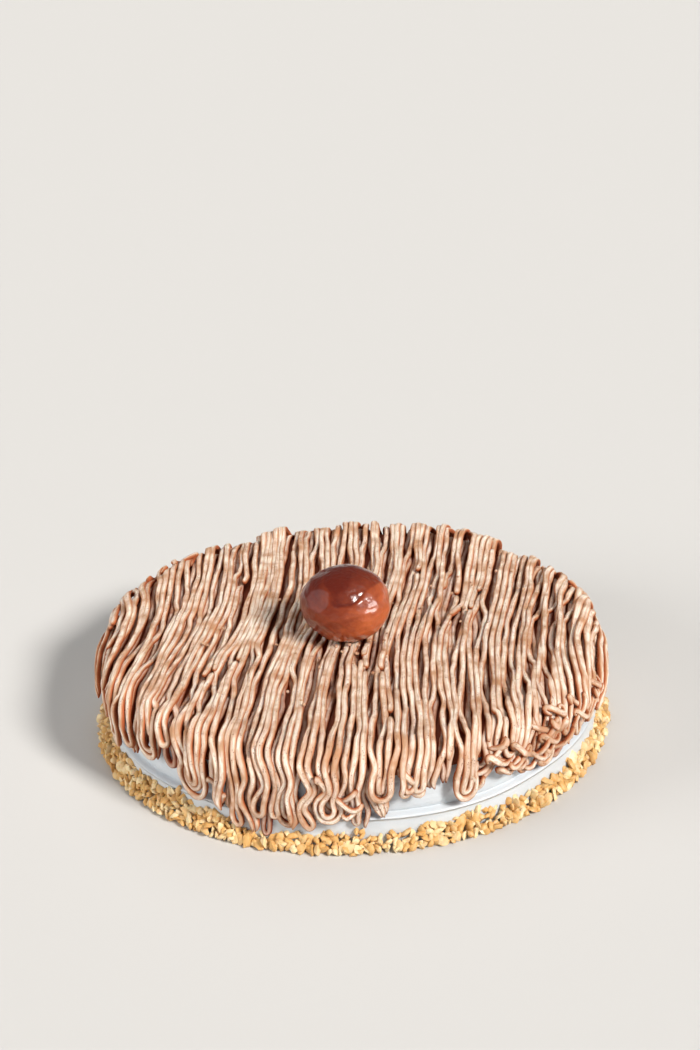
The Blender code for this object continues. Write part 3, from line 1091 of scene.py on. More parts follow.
    def line(self, start: float, side: int, limit: float) -> list[tuple[float, float]]:
        """Follows a strand in the flat from the cake's middle line to its end.

        On the side of the cake it bends towards straight down, as it hangs.

        Args:
            start: How far across it starts.
            side: -1 to run to the front, 1 to run to the back.
            limit: The way over the cake from its middle at which it ends.

        Returns:
            Its points, a step apart.
        """
        across, along = start, 0.0
        line = [(across, along)]
        for _ in range(self.most_steps):
            reach = max(math.hypot(across, along), 0.1 * MM)
            if reach >= limit:
                break
            wall = self.form.wall_start
            hang = self.hang_share * smooth(reach, wall - 9 * MM, wall + 4 * MM)
            hang *= smooth(abs(along), 14.0 * MM, 50.0 * MM)
            fan = self.fan_share * across / self.form.radius * (1.0 - hang)
            fan *= smooth(abs(along), 0.0, 20.0 * MM)
            way = Vector(
                (fan + hang * across / reach, side * (1.0 - hang) + hang * along / reach)
            )
            way.normalize()
            across += way.x * self.step
            along += way.y * self.step
            line.append((across, along))
        return line

    def bundled(self, layer: Layer, start: float, along: float) -> tuple[float, float, int]:
        """How a strand is drawn into its bundle at a place.

        Args:
            layer: Its layer.
            start: Where it starts across.
            along: How far along it is.

        Returns:
            How far it moves to the right, how near it is to the bundle's middle from 0 to 1,
            and the bundle's number.
        """
        phase = start / layer.bundle
        phase += 0.8 * drift(start / (29.0 * MM), along / (66.0 * MM), layer.seed)
        number = math.floor(phase)
        share = phase - number
        edge = smooth(share, 0.0, 0.15) * smooth(1.0 - share, 0.0, 0.15)
        loosened = 0.78 + 0.6 * drift(start / (17.0 * MM), along / (38.0 * MM), layer.seed + 1.0)
        squeeze = layer.squeeze * min(max(loosened, 0.12), 1.2)
        middle = 4.0 * share * (1.0 - share)
        shift = (0.5 - share) * edge * squeeze * layer.bundle
        for ribbon in self.ribbons:
            inside = ribbon.share(start, along)
            shift += inside * ((ribbon.across - start) * 0.33 - shift)
            middle += inside * (0.8 - middle)
        return shift, middle, number

    def height(
        self, layer: Layer, start: float, along: float, own: float, reach: float
    ) -> float:
        """Height of a strand's middle line over the cream.

        Args:
            layer: Its layer.
            start: Where it starts across.
            along: How far along it is.
            own: The strand's own seed.
            reach: The way over the cake from its middle.

        Returns:
            The height.
        """
        _, middle, number = self.bundled(layer, start, along)
        level = layer.level + layer.rise * (middle - 0.6)
        level += 0.45 * layer.rise * drift(number * 3.3, along / (50.0 * MM), layer.seed + 3.0)
        level += 0.3 * MM * drift(own * 5.3, along / (17.0 * MM), layer.seed + 4.0)
        rim = smooth(reach, 80.0 * MM, 94.0 * MM) * smooth(reach, 114.0 * MM, 103.0 * MM)
        finger = 0.6 + 1.7 * drift(number * 5.1, 2.0, layer.seed + 5.0)
        level += layer.rise * rim * finger * (0.35 + 0.65 * smooth(along, -6.0 * MM, 24.0 * MM))
        away = math.hypot(start - self.chestnut[0], along - self.chestnut[1])
        under = math.exp(-((away / (14.0 * MM)) ** 2))
        level += under * (min(level, self.under_chestnut) - level)
        return max(level, layer.lowest)

    def strand(
        self, layer: Layer, start: float, own: float, side: int, group: Group
    ) -> Run:
        """One strand from the middle line to its end.

        Args:
            layer: Its layer.
            start: How far across it starts.
            own: The strand's own seed.
            side: -1 to run to the front, 1 to run to the back.
            group: The group that it ends with.

        Returns:
            The strand, which is empty beyond the outermost.
        """
        line = self.line(start, side, group.limit) if abs(start) < self.outermost else []
        run = Run()
        for index, (across, along) in enumerate(line):
            after = Vector(line[min(index + 1, len(line) - 1)])
            before = Vector(line[max(index - 1, 0)])
            way = (after - before).normalized() if len(line) > 1 else Vector((0.0, side))
            right = Vector((-way.y, way.x)) * -side
            reach = math.hypot(across, along)
            hanging = smooth(reach, self.form.flat_radius - 2 * MM, self.form.wall_start + 2 * MM)
            shift, _, _ = self.bundled(layer, start, along)
            shift *= 1.0 - 0.5 * hanging
            shift += 2.6 * MM * drift(start / (45.0 * MM), along / (80.0 * MM), layer.seed + 6.0)
            wander = (0.45 + 0.75 * hanging) * MM
            shift += wander * drift(own * 3.7, along / (14.0 * MM), layer.seed + 7.0)
            swing = math.sin(math.tau * (reach - self.form.flat_radius) / group.wave + group.phase)
            parted = hanging * smooth(abs(along), 0.0, 25.0 * MM)
            shift += group.sway * parted * swing
            level = self.height(layer, start, along, own, reach) + group.lift * parted
            thick = 1.02 + 0.15 * drift(own * 4.1, along / (14.0 * MM), 31.0)
            run.points.append(
                (
                    across + right.x * shift,
                    along + right.y * shift,
                    max(level, self.lowest),
                    thick * self.width / 2,
                )
            )
        return run

    @staticmethod
    def taper(run: Run, at_start: bool, at_end: bool, shares: tuple[float, ...]) -> None:
        """Thins the open ends of a strand.

        Args:
            run: The strand.
            at_start: Whether its start is thinned.
            at_end: Whether its end is thinned.
            shares: Shares of its radius, from the tip inwards.
        """
        count = len(run.points)
        for index, share in enumerate(shares):
            for there, wanted in ((index, at_start), (count - 1 - index, at_end)):
                if wanted and 0 <= there < count:
                    across, along, height, radius = run.points[there]
                    run.points[there] = (across, along, height, radius * share)

    def draw_in(
        self, runs: Sequence[Run], side: int, ends: Sequence[float], waists: Sequence[float],
        waist: float,
    ) -> None:
        """Draws the last stretch of a group's strands to set places beside its middle line.

        Args:
            runs: The group's strands, from left to right.
            side: The side of the cake that they end on.
            ends: How far to the right of the middle line each one ends.
            waists: The same for the waist above the end.
            waist: Length from the end up to the waist.
        """
        drawn = 2.2 * waist
        span = min(int(drawn / self.step), min(len(run.points) for run in runs) - 2)
        if span < 4:
            return
        middles = [
            sum((Vector(run.points[-1 - index][:2]) for run in runs), Vector((0.0, 0.0)))
            / len(runs)
            for index in range(span + 1)
        ]
        for index in range(span):
            way = (middles[index] - middles[index + 1]).normalized()
            right = Vector((-way.y, way.x)) * -side
            back = index * self.step
            opened = smooth(back, waist, 0.12 * waist)
            blend = smooth(back, drawn, waist)
            for run, end, narrow in zip(runs, ends, waists):
                across, along, height, radius = run.points[-1 - index]
                aside = narrow + (end - narrow) * opened
                aside += 0.5 * MM * drift(back / (6.0 * MM), end / (3.0 * MM), middles[0].x * 90.0)
                wanted = middles[index] + right * aside
                place = Vector((across, along)).lerp(wanted, blend)
                run.points[-1 - index] = (place.x, place.y, height, radius)

    def turn_back(self, first: Run, second: Run, depth: float) -> Run:
        """Joins two strands at their ends by a loop.

        Args:
            first: A strand whose last point is its end.
            second: Its mirrored neighbour.
            depth: How deep the loop hangs, as a share of half its width.

        Returns:
            One strand, down the first and up the second.
        """
        here, there = Vector(first.points[-1][:2]), Vector(second.points[-1][:2])
        middle, half = (here + there) / 2, (there - here) / 2
        down = (here - Vector(first.points[-3][:2])) + (there - Vector(second.points[-3][:2]))
        down = down.normalized() * half.length * depth
        low, high = first.points[-1][2], second.points[-1][2]
        radius = (first.points[-1][3] + second.points[-1][3]) / 2
        steps = max(6, int(math.pi * half.length * 1.15 / self.step))
        arc = []
        for index in range(1, steps):
            turn = math.pi * index / steps
            place = middle - half * math.cos(turn) + down * math.sin(turn)
            share = index / steps
            level = low * (1 - share) + high * share - 0.45 * MM * math.sin(turn)
            arc.append((place.x, place.y, max(level, self.lowest), radius))
        return Run(first.points + arc + second.points[::-1])

    def grouped(self, layer: Layer, starts: Sequence[float], side: int) -> list[Group]:
        """Chooses how the strands of a layer end along one hem.

        Args:
            layer: The layer.
            starts: Where its strands start across.
            side: The side of the cake.

        Returns:
            Groups from left to right.
        """
        rng = random.Random(layer.seed * 10 + side)
        shares = [share for _, _, share in self.endings]
        groups = []
        taken = 0
        while taken < len(starts):
            kind, size, _ = rng.choices(self.endings, shares)[0]
            if taken + size > len(starts):
                kind, size = End.LOOSE, 1
            group = Group(kind, list(range(taken, taken + size)))
            middle = (starts[taken] + starts[taken + size - 1]) / 2
            foot = self.line(middle, side, self.form.hem_reach(math.pi) + 4.0 * MM)
            azimuth = math.atan2(foot[-1][1], foot[-1][0])
            group.limit = self.form.hem_reach(azimuth)
            turned = math.degrees(azimuth) % 360.0
            if rng.random() < layer.short_share:
                group.limit -= rng.uniform(*layer.short)
            else:
                group.limit += rng.uniform(-1.8, 1.2) * MM
            low, high = self.tangled_arc
            if low < turned < high and kind is not End.NEST:
                group.limit -= rng.uniform(2.0, 5.0) * MM
            if kind is End.LOOSE:
                group.limit -= rng.uniform(0.0, 3.0) * MM
            group.sway = rng.random() ** 1.8 * layer.sway
            group.wave = rng.uniform(12.0, 25.0) * MM
            group.phase = rng.uniform(0.0, math.tau)
            group.lift = rng.uniform(-0.9, 1.5) * MM
            group.opening = rng.uniform(1.0, 2.9) * MM
            group.waist = rng.uniform(6.0, 11.0) * MM
            groups.append(group)
            taken += size
        return groups

    def finish_group(
        self, group: Group, runs: Sequence[Run], side: int, rng: random.Random
    ) -> list[tuple[int, int, float]]:
        """Shapes the ends of a group's strands.

        Args:
            group: The group.
            runs: Its strands, from left to right.
            side: The side of the cake.
            rng: The source of the unevenness.

        Returns:
            The pairs of strands that loop into each other, with the depth of each loop.
        """
        size = len(runs)
        if group.kind is End.NEST:
            pairs = size // 2
            ends, waists = [0.0] * size, [0.0] * size
            for pair in range(pairs):
                ring = pairs - 1 - pair
                ends[-1 - pair] = group.opening + ring * 0.95 * self.width
                waists[-1 - pair] = 0.42 * self.width + ring * 0.78 * self.width
                ends[pair], waists[pair] = -ends[-1 - pair], -waists[-1 - pair]
            self.draw_in(runs, side, ends, waists, group.waist)
            depth = rng.uniform(0.95, 1.35)
            return [
                (group.members[pair], group.members[-1 - pair], depth) for pair in range(pairs)
            ]
        if group.kind is End.TIP:
            places = [index - (size - 1) / 2 for index in range(size)]
            ends = [0.38 * self.width * place for place in places]
            waists = [0.8 * self.width * place for place in places]
            self.draw_in(runs, side, ends, waists, group.waist)
            for run in runs:
                del run.points[len(run.points) - rng.randrange(1, 3):]
                self.taper(run, False, True, (0.5, 0.76, 0.9))
        return []

    def laid(self, layer: Layer) -> list[Run]:
        """Lays out one layer of strands with the ends at both its hems.

        Args:
            layer: The layer.

        Returns:
            The strands: halves that meet at the middle line are joined.
        """
        rng = random.Random(layer.seed)
        reach = self.form.hem_reach(math.pi) - 3.0 * MM
        starts = [
            ((index + 0.5) / layer.count * 2.0 - 1.0) * reach for index in range(layer.count)
        ]
        halves: dict[int, list[Run]] = {}
        loops: dict[int, list[tuple[int, int, float]]] = {}
        for side in (-1, 1):
            halves[side], loops[side] = [], []
            for group in self.grouped(layer, starts, side):
                if group.kind is End.NEST:
                    group.limit -= group.opening + (len(group.members) / 2 - 1) * self.width
                runs = [
                    self.strand(layer, starts[member], member + 0.37 * layer.seed, side, group)
                    for member in group.members
                ]
                loops[side].extend(self.finish_group(group, runs, side, rng))
                halves[side].extend(runs)
        return self.chain(halves, loops, rng)

    def chain(
        self,
        halves: dict[int, list[Run]],
        loops: dict[int, list[tuple[int, int, float]]],
        rng: random.Random,
    ) -> list[Run]:
        """Joins half strands at the middle line and through their loops.

        Where both halves of a strand loop into a neighbour, one thin end goes on inside the
        other for two steps, at a place of its own along the strand.

        Args:
            halves: For each side, the strands from the middle line outwards.
            loops: For each side, the pairs that loop into each other.
            rng: The source of the places.

        Returns:
            Whole strands.
        """
        pairs = {
            side: [
                pair
                for pair in loops[side]
                if min(len(halves[side][leg].points) for leg in pair[:2]) > self.fewest_points
            ]
            for side in (-1, 1)
        }
        looped = {side: {leg for pair in pairs[side] for leg in pair[:2]} for side in (-1, 1)}
        blunt = (0.55, 0.85)
        hidden = (0.6, 0.85)
        runs = []
        legs: dict[tuple[int, int], Run] = {}
        for index, (front, back) in enumerate(zip(halves[-1], halves[1])):
            long_front = len(front.points) > self.fewest_points
            long_back = len(back.points) > self.fewest_points
            if not (long_front or long_back):
                continue
            whole = Run(
                (front.points[::-1] if long_front else back.points[:1])
                + (back.points[1:] if long_back else [])
            )
            if index in looped[-1] and index in looped[1]:
                room = min(len(front.points), len(back.points)) - 6
                place = len(front.points) - 1 + int(rng.uniform(-0.8, 0.8) * max(room, 0))
                place = min(max(place, 3), len(whole.points) - 4)
                legs[-1, index] = Run(whole.points[:place + 2][::-1])
                legs[1, index] = Run(whole.points[place - 1:])
                for side in (-1, 1):
                    self.taper(legs[side, index], True, False, hidden)
            elif index in looped[-1]:
                legs[-1, index] = Run(whole.points[::-1])
                self.taper(legs[-1, index], True, False, blunt)
            elif index in looped[1]:
                legs[1, index] = whole
                self.taper(whole, True, False, blunt)
            else:
                self.taper(whole, True, True, blunt)
                runs.append(whole)
        for side in (-1, 1):
            for first, second, depth in pairs[side]:
                runs.append(self.turn_back(legs[side, first], legs[side, second], depth))
        return runs

    def tear(self, runs: list[Run], rng: random.Random) -> list[Run]:
        """Breaks some strands on the top, and lets their ends spring aside.

        Args:
            runs: The strands.
            rng: The source of the choices.

        Returns:
            The strands, with the broken ones in two.
        """
        runs = list(runs)
        for torn in self.torn_spots:
            for _ in range(torn.count):
                spot = Vector(
                    (rng.gauss(torn.across, torn.spread), rng.gauss(torn.along, torn.spread))
                )
                if spot.length > self.torn_reach:
                    continue
                best = min(
                    range(len(runs)),
                    key=lambda number: min(
                        (Vector(point[:2]) - spot).length for point in runs[number].points[::4]
                    ),
                )
                points = runs[best].points
                place = min(
                    range(len(points)), key=lambda at: (Vector(points[at][:2]) - spot).length
                )
                if 16 < place < len(points) - 16:
                    gap = rng.randrange(1, 3)
                    pair = [Run(points[:place]), Run(points[place + gap:][::-1])]
                    for piece in pair:
                        self.spring(piece, rng)
                    runs[best:best + 1] = pair
        return runs

    def spring(self, run: Run, rng: random.Random) -> None:
        """Bends the last stretch of a broken strand aside and up.

        Args:
            run: The strand.
            rng: The source of how far it bends.
        """
        aside, up = rng.uniform(-1.3, 1.3) * MM, rng.uniform(-0.2, 0.8) * MM
        bent = 10
        for index in range(bent):
            share = (1.0 - index / bent) ** 2
            across, along, height, radius = run.points[-1 - index]
            run.points[-1 - index] = (
                across + aside * share, along, height + up * share, radius
            )
        self.taper(run, False, True, (0.6, 0.9))

    def scribbled(self, scribble: Scribble) -> Run:
        """Lays out a crumpled strand.

        Args:
            scribble: Its place, size and folds.

        Returns:
            The strand.
        """
        azimuth = math.radians(scribble.azimuth)
        out = Vector((math.cos(azimuth), math.sin(azimuth)))
        sideways = Vector((-out.y, out.x))
        steps = int(scribble.folds * 4.2 * scribble.wide / self.step) + 8
        run = Run()
        for index in range(steps + 1):
            share = index / steps
            turn = math.tau * (scribble.folds * share + scribble.start)
            beside = scribble.wide * math.sin(turn) + scribble.slant * (share - 0.5)
            beside += 0.8 * MM * drift(index * 0.11, scribble.azimuth, 3.0)
            ahead = scribble.reach + scribble.long * (share - 0.2)
            ahead += 1.5 * MM * math.sin(2.0 * turn + 0.7)
            place = out * ahead + sideways * beside
            level = scribble.level + 1.2 * MM * math.sin(turn * 1.5 + scribble.azimuth)
            level -= 2.6 * MM * (smooth(share, 0.16, 0.0) + smooth(share, 0.84, 1.0))
            run.points.append((place.x, place.y, level, 0.44 * self.width))
        self.taper(run, True, True, (0.5, 0.85))
        return run

    def hung(self, middle: float) -> list[Run]:
        """Loops that hang down a side of the cake where the strands run past it.

        Args:
            middle: Azimuth of the middle of that side, in radians.

        Returns:
            The loops.
        """
        rng = random.Random(3 + round(middle))
        runs = []
        narrow, base, hem_radius = 1.1 * MM, 1.8 * MM, 104.0 * MM
        top = self.hung_from
        azimuth = middle - math.radians(self.hung_arc)
        while azimuth < middle + math.radians(self.hung_arc):
            opening = rng.uniform(1.4, 2.7) * MM
            out = Vector((math.cos(azimuth), math.sin(azimuth)))
            sideways = Vector((-out.y, out.x))
            drop = self.form.hem_reach(azimuth) - opening - rng.uniform(0.0, 5.0) * MM - top
            steps = int(drop / self.step)
            lean, level = rng.uniform(-2.5, 2.5) * MM, rng.uniform(2.3, 3.8) * MM
            legs = (Run(), Run())
            for leg, way in zip(legs, (-1.0, 1.0)):
                for index in range(steps + 1):
                    share = index / steps
                    beside = way * (narrow + (opening - narrow) * smooth(share, 0.4, 0.95))
                    beside += lean * smooth(share, 0.0, 1.0)
                    beside += 0.7 * MM * drift(share * 2.0, azimuth * 9.0, 5.0 + 0.3 * way)
                    place = out * (top + drop * share) + sideways * beside
                    height = base + (level - base) * smooth(share, 0.1, 0.7)
                    leg.points.append((place.x, place.y, height, 0.5 * self.width))
            runs.append(self.turn_back(*legs, rng.uniform(0.9, 1.3)))
            azimuth += (2.0 * opening + self.width + rng.uniform(-0.6, 1.0) * MM) / hem_radius
        return runs

    @staticmethod
    def section(sides: int) -> bpy.types.Object:
        """Makes the round section that is swept along the strands.

        Args:
            sides: How many sides it has.

        Returns:
            The section, one unit in radius.
        """
        bpy.ops.curve.primitive_bezier_circle_add(radius=1.0)
        section = bpy.context.object
        section.data.splines.clear()
        ring = section.data.splines.new("POLY")
        ring.points.add(sides - 1)
        for index, point in enumerate(ring.points):
            angle = math.tau * index / sides
            point.co = (math.cos(angle), math.sin(angle), 0.0, 1.0)
        ring.use_cyclic_u = True
        return section

    @staticmethod
    def path(name: str, runs: Iterable[Run]) -> bpy.types.Object:
        """Makes the middle lines of strands into a curve.

        Args:
            name: Name of the curve.
            runs: The strands. Those of under four points are left out.

        Returns:
            The curve.
        """
        bpy.ops.curve.primitive_bezier_curve_add()
        path = bpy.context.object
        path.name = name
        path.data.splines.clear()
        for run in runs:
            if len(run.points) < 4:
                continue
            spline = path.data.splines.new("POLY")
            spline.points.add(len(run.points) - 1)
            rows = np.array(run.points)
            places = np.column_stack((rows[:, :3], np.ones(len(rows))))
            spline.points.foreach_set("co", places.ravel())
            spline.points.foreach_set("radius", rows[:, 3])
        path.data.twist_mode = "Z_UP"
        path.data.bevel_mode = "OBJECT"
        path.data.use_fill_caps = True
        return path

    def sweep(self, name: str, runs: Iterable[Run], sides: int) -> bpy.types.Object:
        """Sweeps a round section along strands in the flat, and drapes them on the cake.

        Args:
            name: Name of the piece.
            runs: The strands.
            sides: How many sides the section has.

        Returns:
            The mesh, with a UV map that runs along each strand and the attributes lift, for
            the height over the cream, and crown, for how far the surface looks up from it.
        """
        Bench.clear()
        section = self.section(sides)
        path = self.path(name, runs)
        path.data.bevel_object = section
        Bench.pick(path)
        bpy.ops.object.convert(target="MESH")
        strands = bpy.context.object
        bpy.data.objects.remove(section)
        Bench.settle(strands)
        bpy.ops.object.mode_set(mode="EDIT")
        bpy.ops.mesh.select_all(action="SELECT")
        bpy.ops.mesh.remove_doubles(threshold=0.001 * MM)
        bpy.ops.mesh.normals_make_consistent(inside=False)
        bpy.ops.object.mode_set(mode="OBJECT")
        for depth, size in self.unevenness:
            Bench.roughen(strands, depth, size)
        points = Bench.points(strands)
        normals = np.empty(len(points) * 3)
        strands.data.vertices.foreach_get("normal", normals)
        crown = normals.reshape(-1, 3)[:, 2]
        # The finish paints shade from lift and from crown, and a highlight from crown.
        Bench.note(strands, "lift", points[:, 2] / self.lift_span)
        Bench.note(strands, "crown", crown)
        points[:, 2] -= self.crest_cut * np.clip(crown, 0.0, 1.0) ** 3
        points[:, 2] = np.maximum(points[:, 2], self.cream_gap)
        Bench.move(strands, self.form.drape(points))
        return strands

    @staticmethod
    def shade(body: bpy.types.Object, lift: float, crown: float) -> None:
        """Gives a whole body the two numbers from which the strands' finish paints its shade and
        highlight.
        """
        for name, number in (("lift", lift), ("crown", crown)):
            Bench.note(body, name, np.full(len(body.data.vertices), number))

    def core(self) -> bpy.types.Object:
        """Builds the close-packed strands under the ones that show, as one body in painted shade.

        Returns:
            The body, which lies on the cream.
        """
        form = self.form
        outline = [(form.radius - self.core_foot, form.shoulder_level)]
        depth = form.shoulder + self.core_depth
        for step in range(1, self.core_rings + 1):
            turn = math.pi / 2 * step / self.core_rings
            outline.append(
                (
                    form.flat_radius + depth * math.cos(turn),
                    form.shoulder_level + depth * math.sin(turn),
                )
            )
        body = Bench.turned("strand_core", outline, self.core_sides)
        # These numbers paint the core dark, in painted shade, like the low strands in the gaps.
        self.shade(body, lift=0.36, crown=0.4)
        bpy.ops.object.mode_set(mode="EDIT")
        bpy.ops.mesh.select_all(action="SELECT")
        bpy.ops.uv.smart_project()
        bpy.ops.object.mode_set(mode="OBJECT")
        return body

    def crumbs(self) -> bpy.types.Object:
        """Builds the crumbs on the top, by the torn ends and round the chestnut.

        Returns:
            All of them, as one mesh.
        """
        rng = random.Random(self.crumb_seed)
        lumps = []
        spots = [spot for spot in self.torn_spots for _ in range(spot.count * 3)]
        foot = TornSpot(*self.chestnut, 13.0 * MM, 26)
        spots += [foot] * foot.count
        for spot in spots:
            place = Vector(
                (rng.gauss(spot.across, spot.spread), rng.gauss(spot.along, spot.spread))
            )
            if place.length > self.crumb_reach:
                continue
            size = rng.uniform(*self.crumb_size)
            Bench.clear()
            bpy.ops.mesh.primitive_ico_sphere_add(subdivisions=1, radius=size)
            lump = bpy.context.object
            lump.scale = (rng.uniform(0.8, 1.2), rng.uniform(0.8, 1.25), rng.uniform(0.7, 1.0))
            lump.rotation_euler = (rng.random(), rng.random(), rng.uniform(0.0, math.tau))
            flat = np.array([[place.x, place.y, rng.uniform(4.6, 6.2) * MM]])
            lump.location = self.form.drape(flat)[0]
            Bench.settle(lump)
            lumps.append(lump)
        heap = Bench.join("crumbs", lumps)
        # These numbers keep the crumbs out of the painted shade, with a little painted highlight.
        self.shade(heap, lift=0.8, crown=0.7)
        return heap

    def build(self) -> list[bpy.types.Object]:
        """Builds and dresses the strands.

        Returns:
            Their pieces.
        """
        material = self.finish.material()
        meshes = [self.core(), self.crumbs()]
        for layer in self.layers:
            runs = self.laid(layer)
            if layer is self.layers[-1]:
                runs = self.tear(runs, random.Random(self.tear_seed))
                runs += [self.scribbled(scribble) for scribble in self.scribbles]
                runs += self.hung(0.0) + self.hung(math.pi)
            runs.sort(key=lambda run: run.points[len(run.points) // 2][0])
            for piece in range(layer.pieces):
                first, last = (at * len(runs) // layer.pieces for at in (piece, piece + 1))
                part = runs[first:last]
                meshes.append(self.sweep(f"strands_{layer.name}_{piece + 1}", part, layer.sides))
        return [
            Bench.dress(mesh, material, "chestnut_strands", "chestnut_cream") for mesh in meshes
        ]


@dataclass(frozen=True)
class Facet:
    """A flattened place on the chestnut: its direction, and its distance from the middle."""

    beside: float
    upward: float
    ahead: float
    distance: float

    def scale(self, beside: float, upward: float, ahead: float) -> float:
        """How much it draws in the surface in a direction.

        Args:
            beside: The direction's part to the right.
            upward: Its part upwards.
            ahead: Its part to the front.

        Returns:
            A factor, which is 1 where it leaves the surface as it is.
        """
        facing = beside * self.beside + upward * self.upward + ahead * self.ahead
        if facing <= 0.5:
            return 1.0
        return 1.0 - 0.75 * (1.0 - min(self.distance / facing, 1.0))


@dataclass
class CandiedChestnut:
    """The glazed chestnut: an uneven egg on its side, with a fold across its top."""

    centre: tuple[float, float, float] = (-0.4 * MM, -10.3 * MM, 56.2 * MM)
    size: tuple[float, float, float] = (35.8 * MM, 32.6 * MM, 30.6 * MM)
    segments: int = 144
    rings: int = 108
    right: Vector = field(default_factory=lambda: Vector((0.994, 0.113, 0.0)))
    front: Vector = field(default_factory=lambda: Vector((0.102, -0.898, 0.427)))
    bumps: tuple[tuple[float, float], ...] = ((0.014, 4.0), (0.010, 8.0), (0.005, 15.0))
    facets: tuple[Facet, ...] = (
        Facet(-0.62, 0.15, 0.77, 0.95),
        Facet(0.1, 0.8, 0.55, 0.955),
        Facet(0.75, 0.35, 0.5, 0.97),
        Facet(-0.3, -0.6, 0.74, 0.97),
        Facet(-0.62, -0.72, 0.31, 0.89),
        Facet(-0.55, 0.8, 0.2, 0.965),
        Facet(0.49, -0.16, 0.857, 0.955),
    )
    finish: GlazeFinish = field(default_factory=GlazeFinish)

    def fold(self, beside: float, upward: float, ahead: float) -> tuple[float, float]:
        """The sunk skin on the top of the chestnut, and the crease along its edge.

        Args:
            beside: A direction's part to the right.
            upward: Its part upwards.
            ahead: Its part to the front.

        Returns:
            How much of each there is, from 0 to 1.
        """
        seen = smooth(ahead, -0.1, 0.25)
        edge = upward + 0.01 - 0.3 * beside - 0.5 * max(beside - 0.1, 0.0)
        edge += 0.035 * math.sin(9.0 * beside)
        rim = beside + 0.25 * upward + 0.03 * math.sin(14.0 * upward) + 0.27
        patch = smooth(edge, -0.03, 0.05) * smooth(rim, -0.06, 0.03) * seen
        crease = math.exp(-((edge / 0.045) ** 2)) * smooth(rim, -0.05, 0.1)
        crease *= smooth(beside, 0.5, 0.3) * seen
        return patch, crease

    def surface(self, way: Vector) -> tuple[float, float]:
        """The chestnut's surface in a direction from its middle.

        Args:
            way: The direction, on the unit sphere.

        Returns:
            Its distance as a share of the egg's, and how dark it is: partly its own tone and partly
            painted shade.
        """
        beside, ahead = way.dot(self.right), way.dot(self.front)
        upward = way.dot(self.front.cross(self.right))
        scale = 1.0 + 0.03 * noise.noise(way * 1.7 + Vector((4.0, 1.0, 2.0)))
        scale += sum(depth * noise.noise(way * rate) for depth, rate in self.bumps)
        for facet in self.facets:
            scale *= facet.scale(beside, upward, ahead)
        patch, crease = self.fold(beside, upward, ahead)
        scale -= 0.014 * patch + 0.03 * crease
        # Darker above and in the sunk patch is the chestnut's own colour. Darker to the left, away
        # from the key light, is partly its own colour and partly painted shade, and darker in the
        # crease is painted shade.
        tone_and_shade = 0.42 + 0.24 * way.z - 0.33 * beside + 0.22 * patch + 0.25 * crease
        return scale, tone_and_shade

    def build(self) -> bpy.types.Object:
        """Builds and dresses the chestnut.

        Returns:
            The chestnut.
        """
        Bench.clear()
        bpy.ops.mesh.primitive_uv_sphere_add(
            segments=self.segments, ring_count=self.rings, radius=1.0
        )
        chestnut = bpy.context.object
        chestnut.name = "chestnut"
        ways = [Vector(point).normalized() for point in Bench.points(chestnut)]
        scales, tone_and_shade = np.array([self.surface(way) for way in ways]).T
        egg = np.array(ways) * np.array(self.size) / 2
        Bench.move(chestnut, egg * scales[:, np.newaxis] + np.array(self.centre))
        Bench.note(chestnut, "tone_and_shade", tone_and_shade)
        Bench.settle(chestnut)
        return Bench.dress(chestnut, self.finish.material(), "candied_chestnut", "candied_chestnut")


class Shows(Enum):
    """How a lamp shows on the cake."""

    WHOLLY = "it lights and is mirrored"
    SOFTLY = "it lights and isn't mirrored"
    MIRRORED = "it is only mirrored, as a glint"


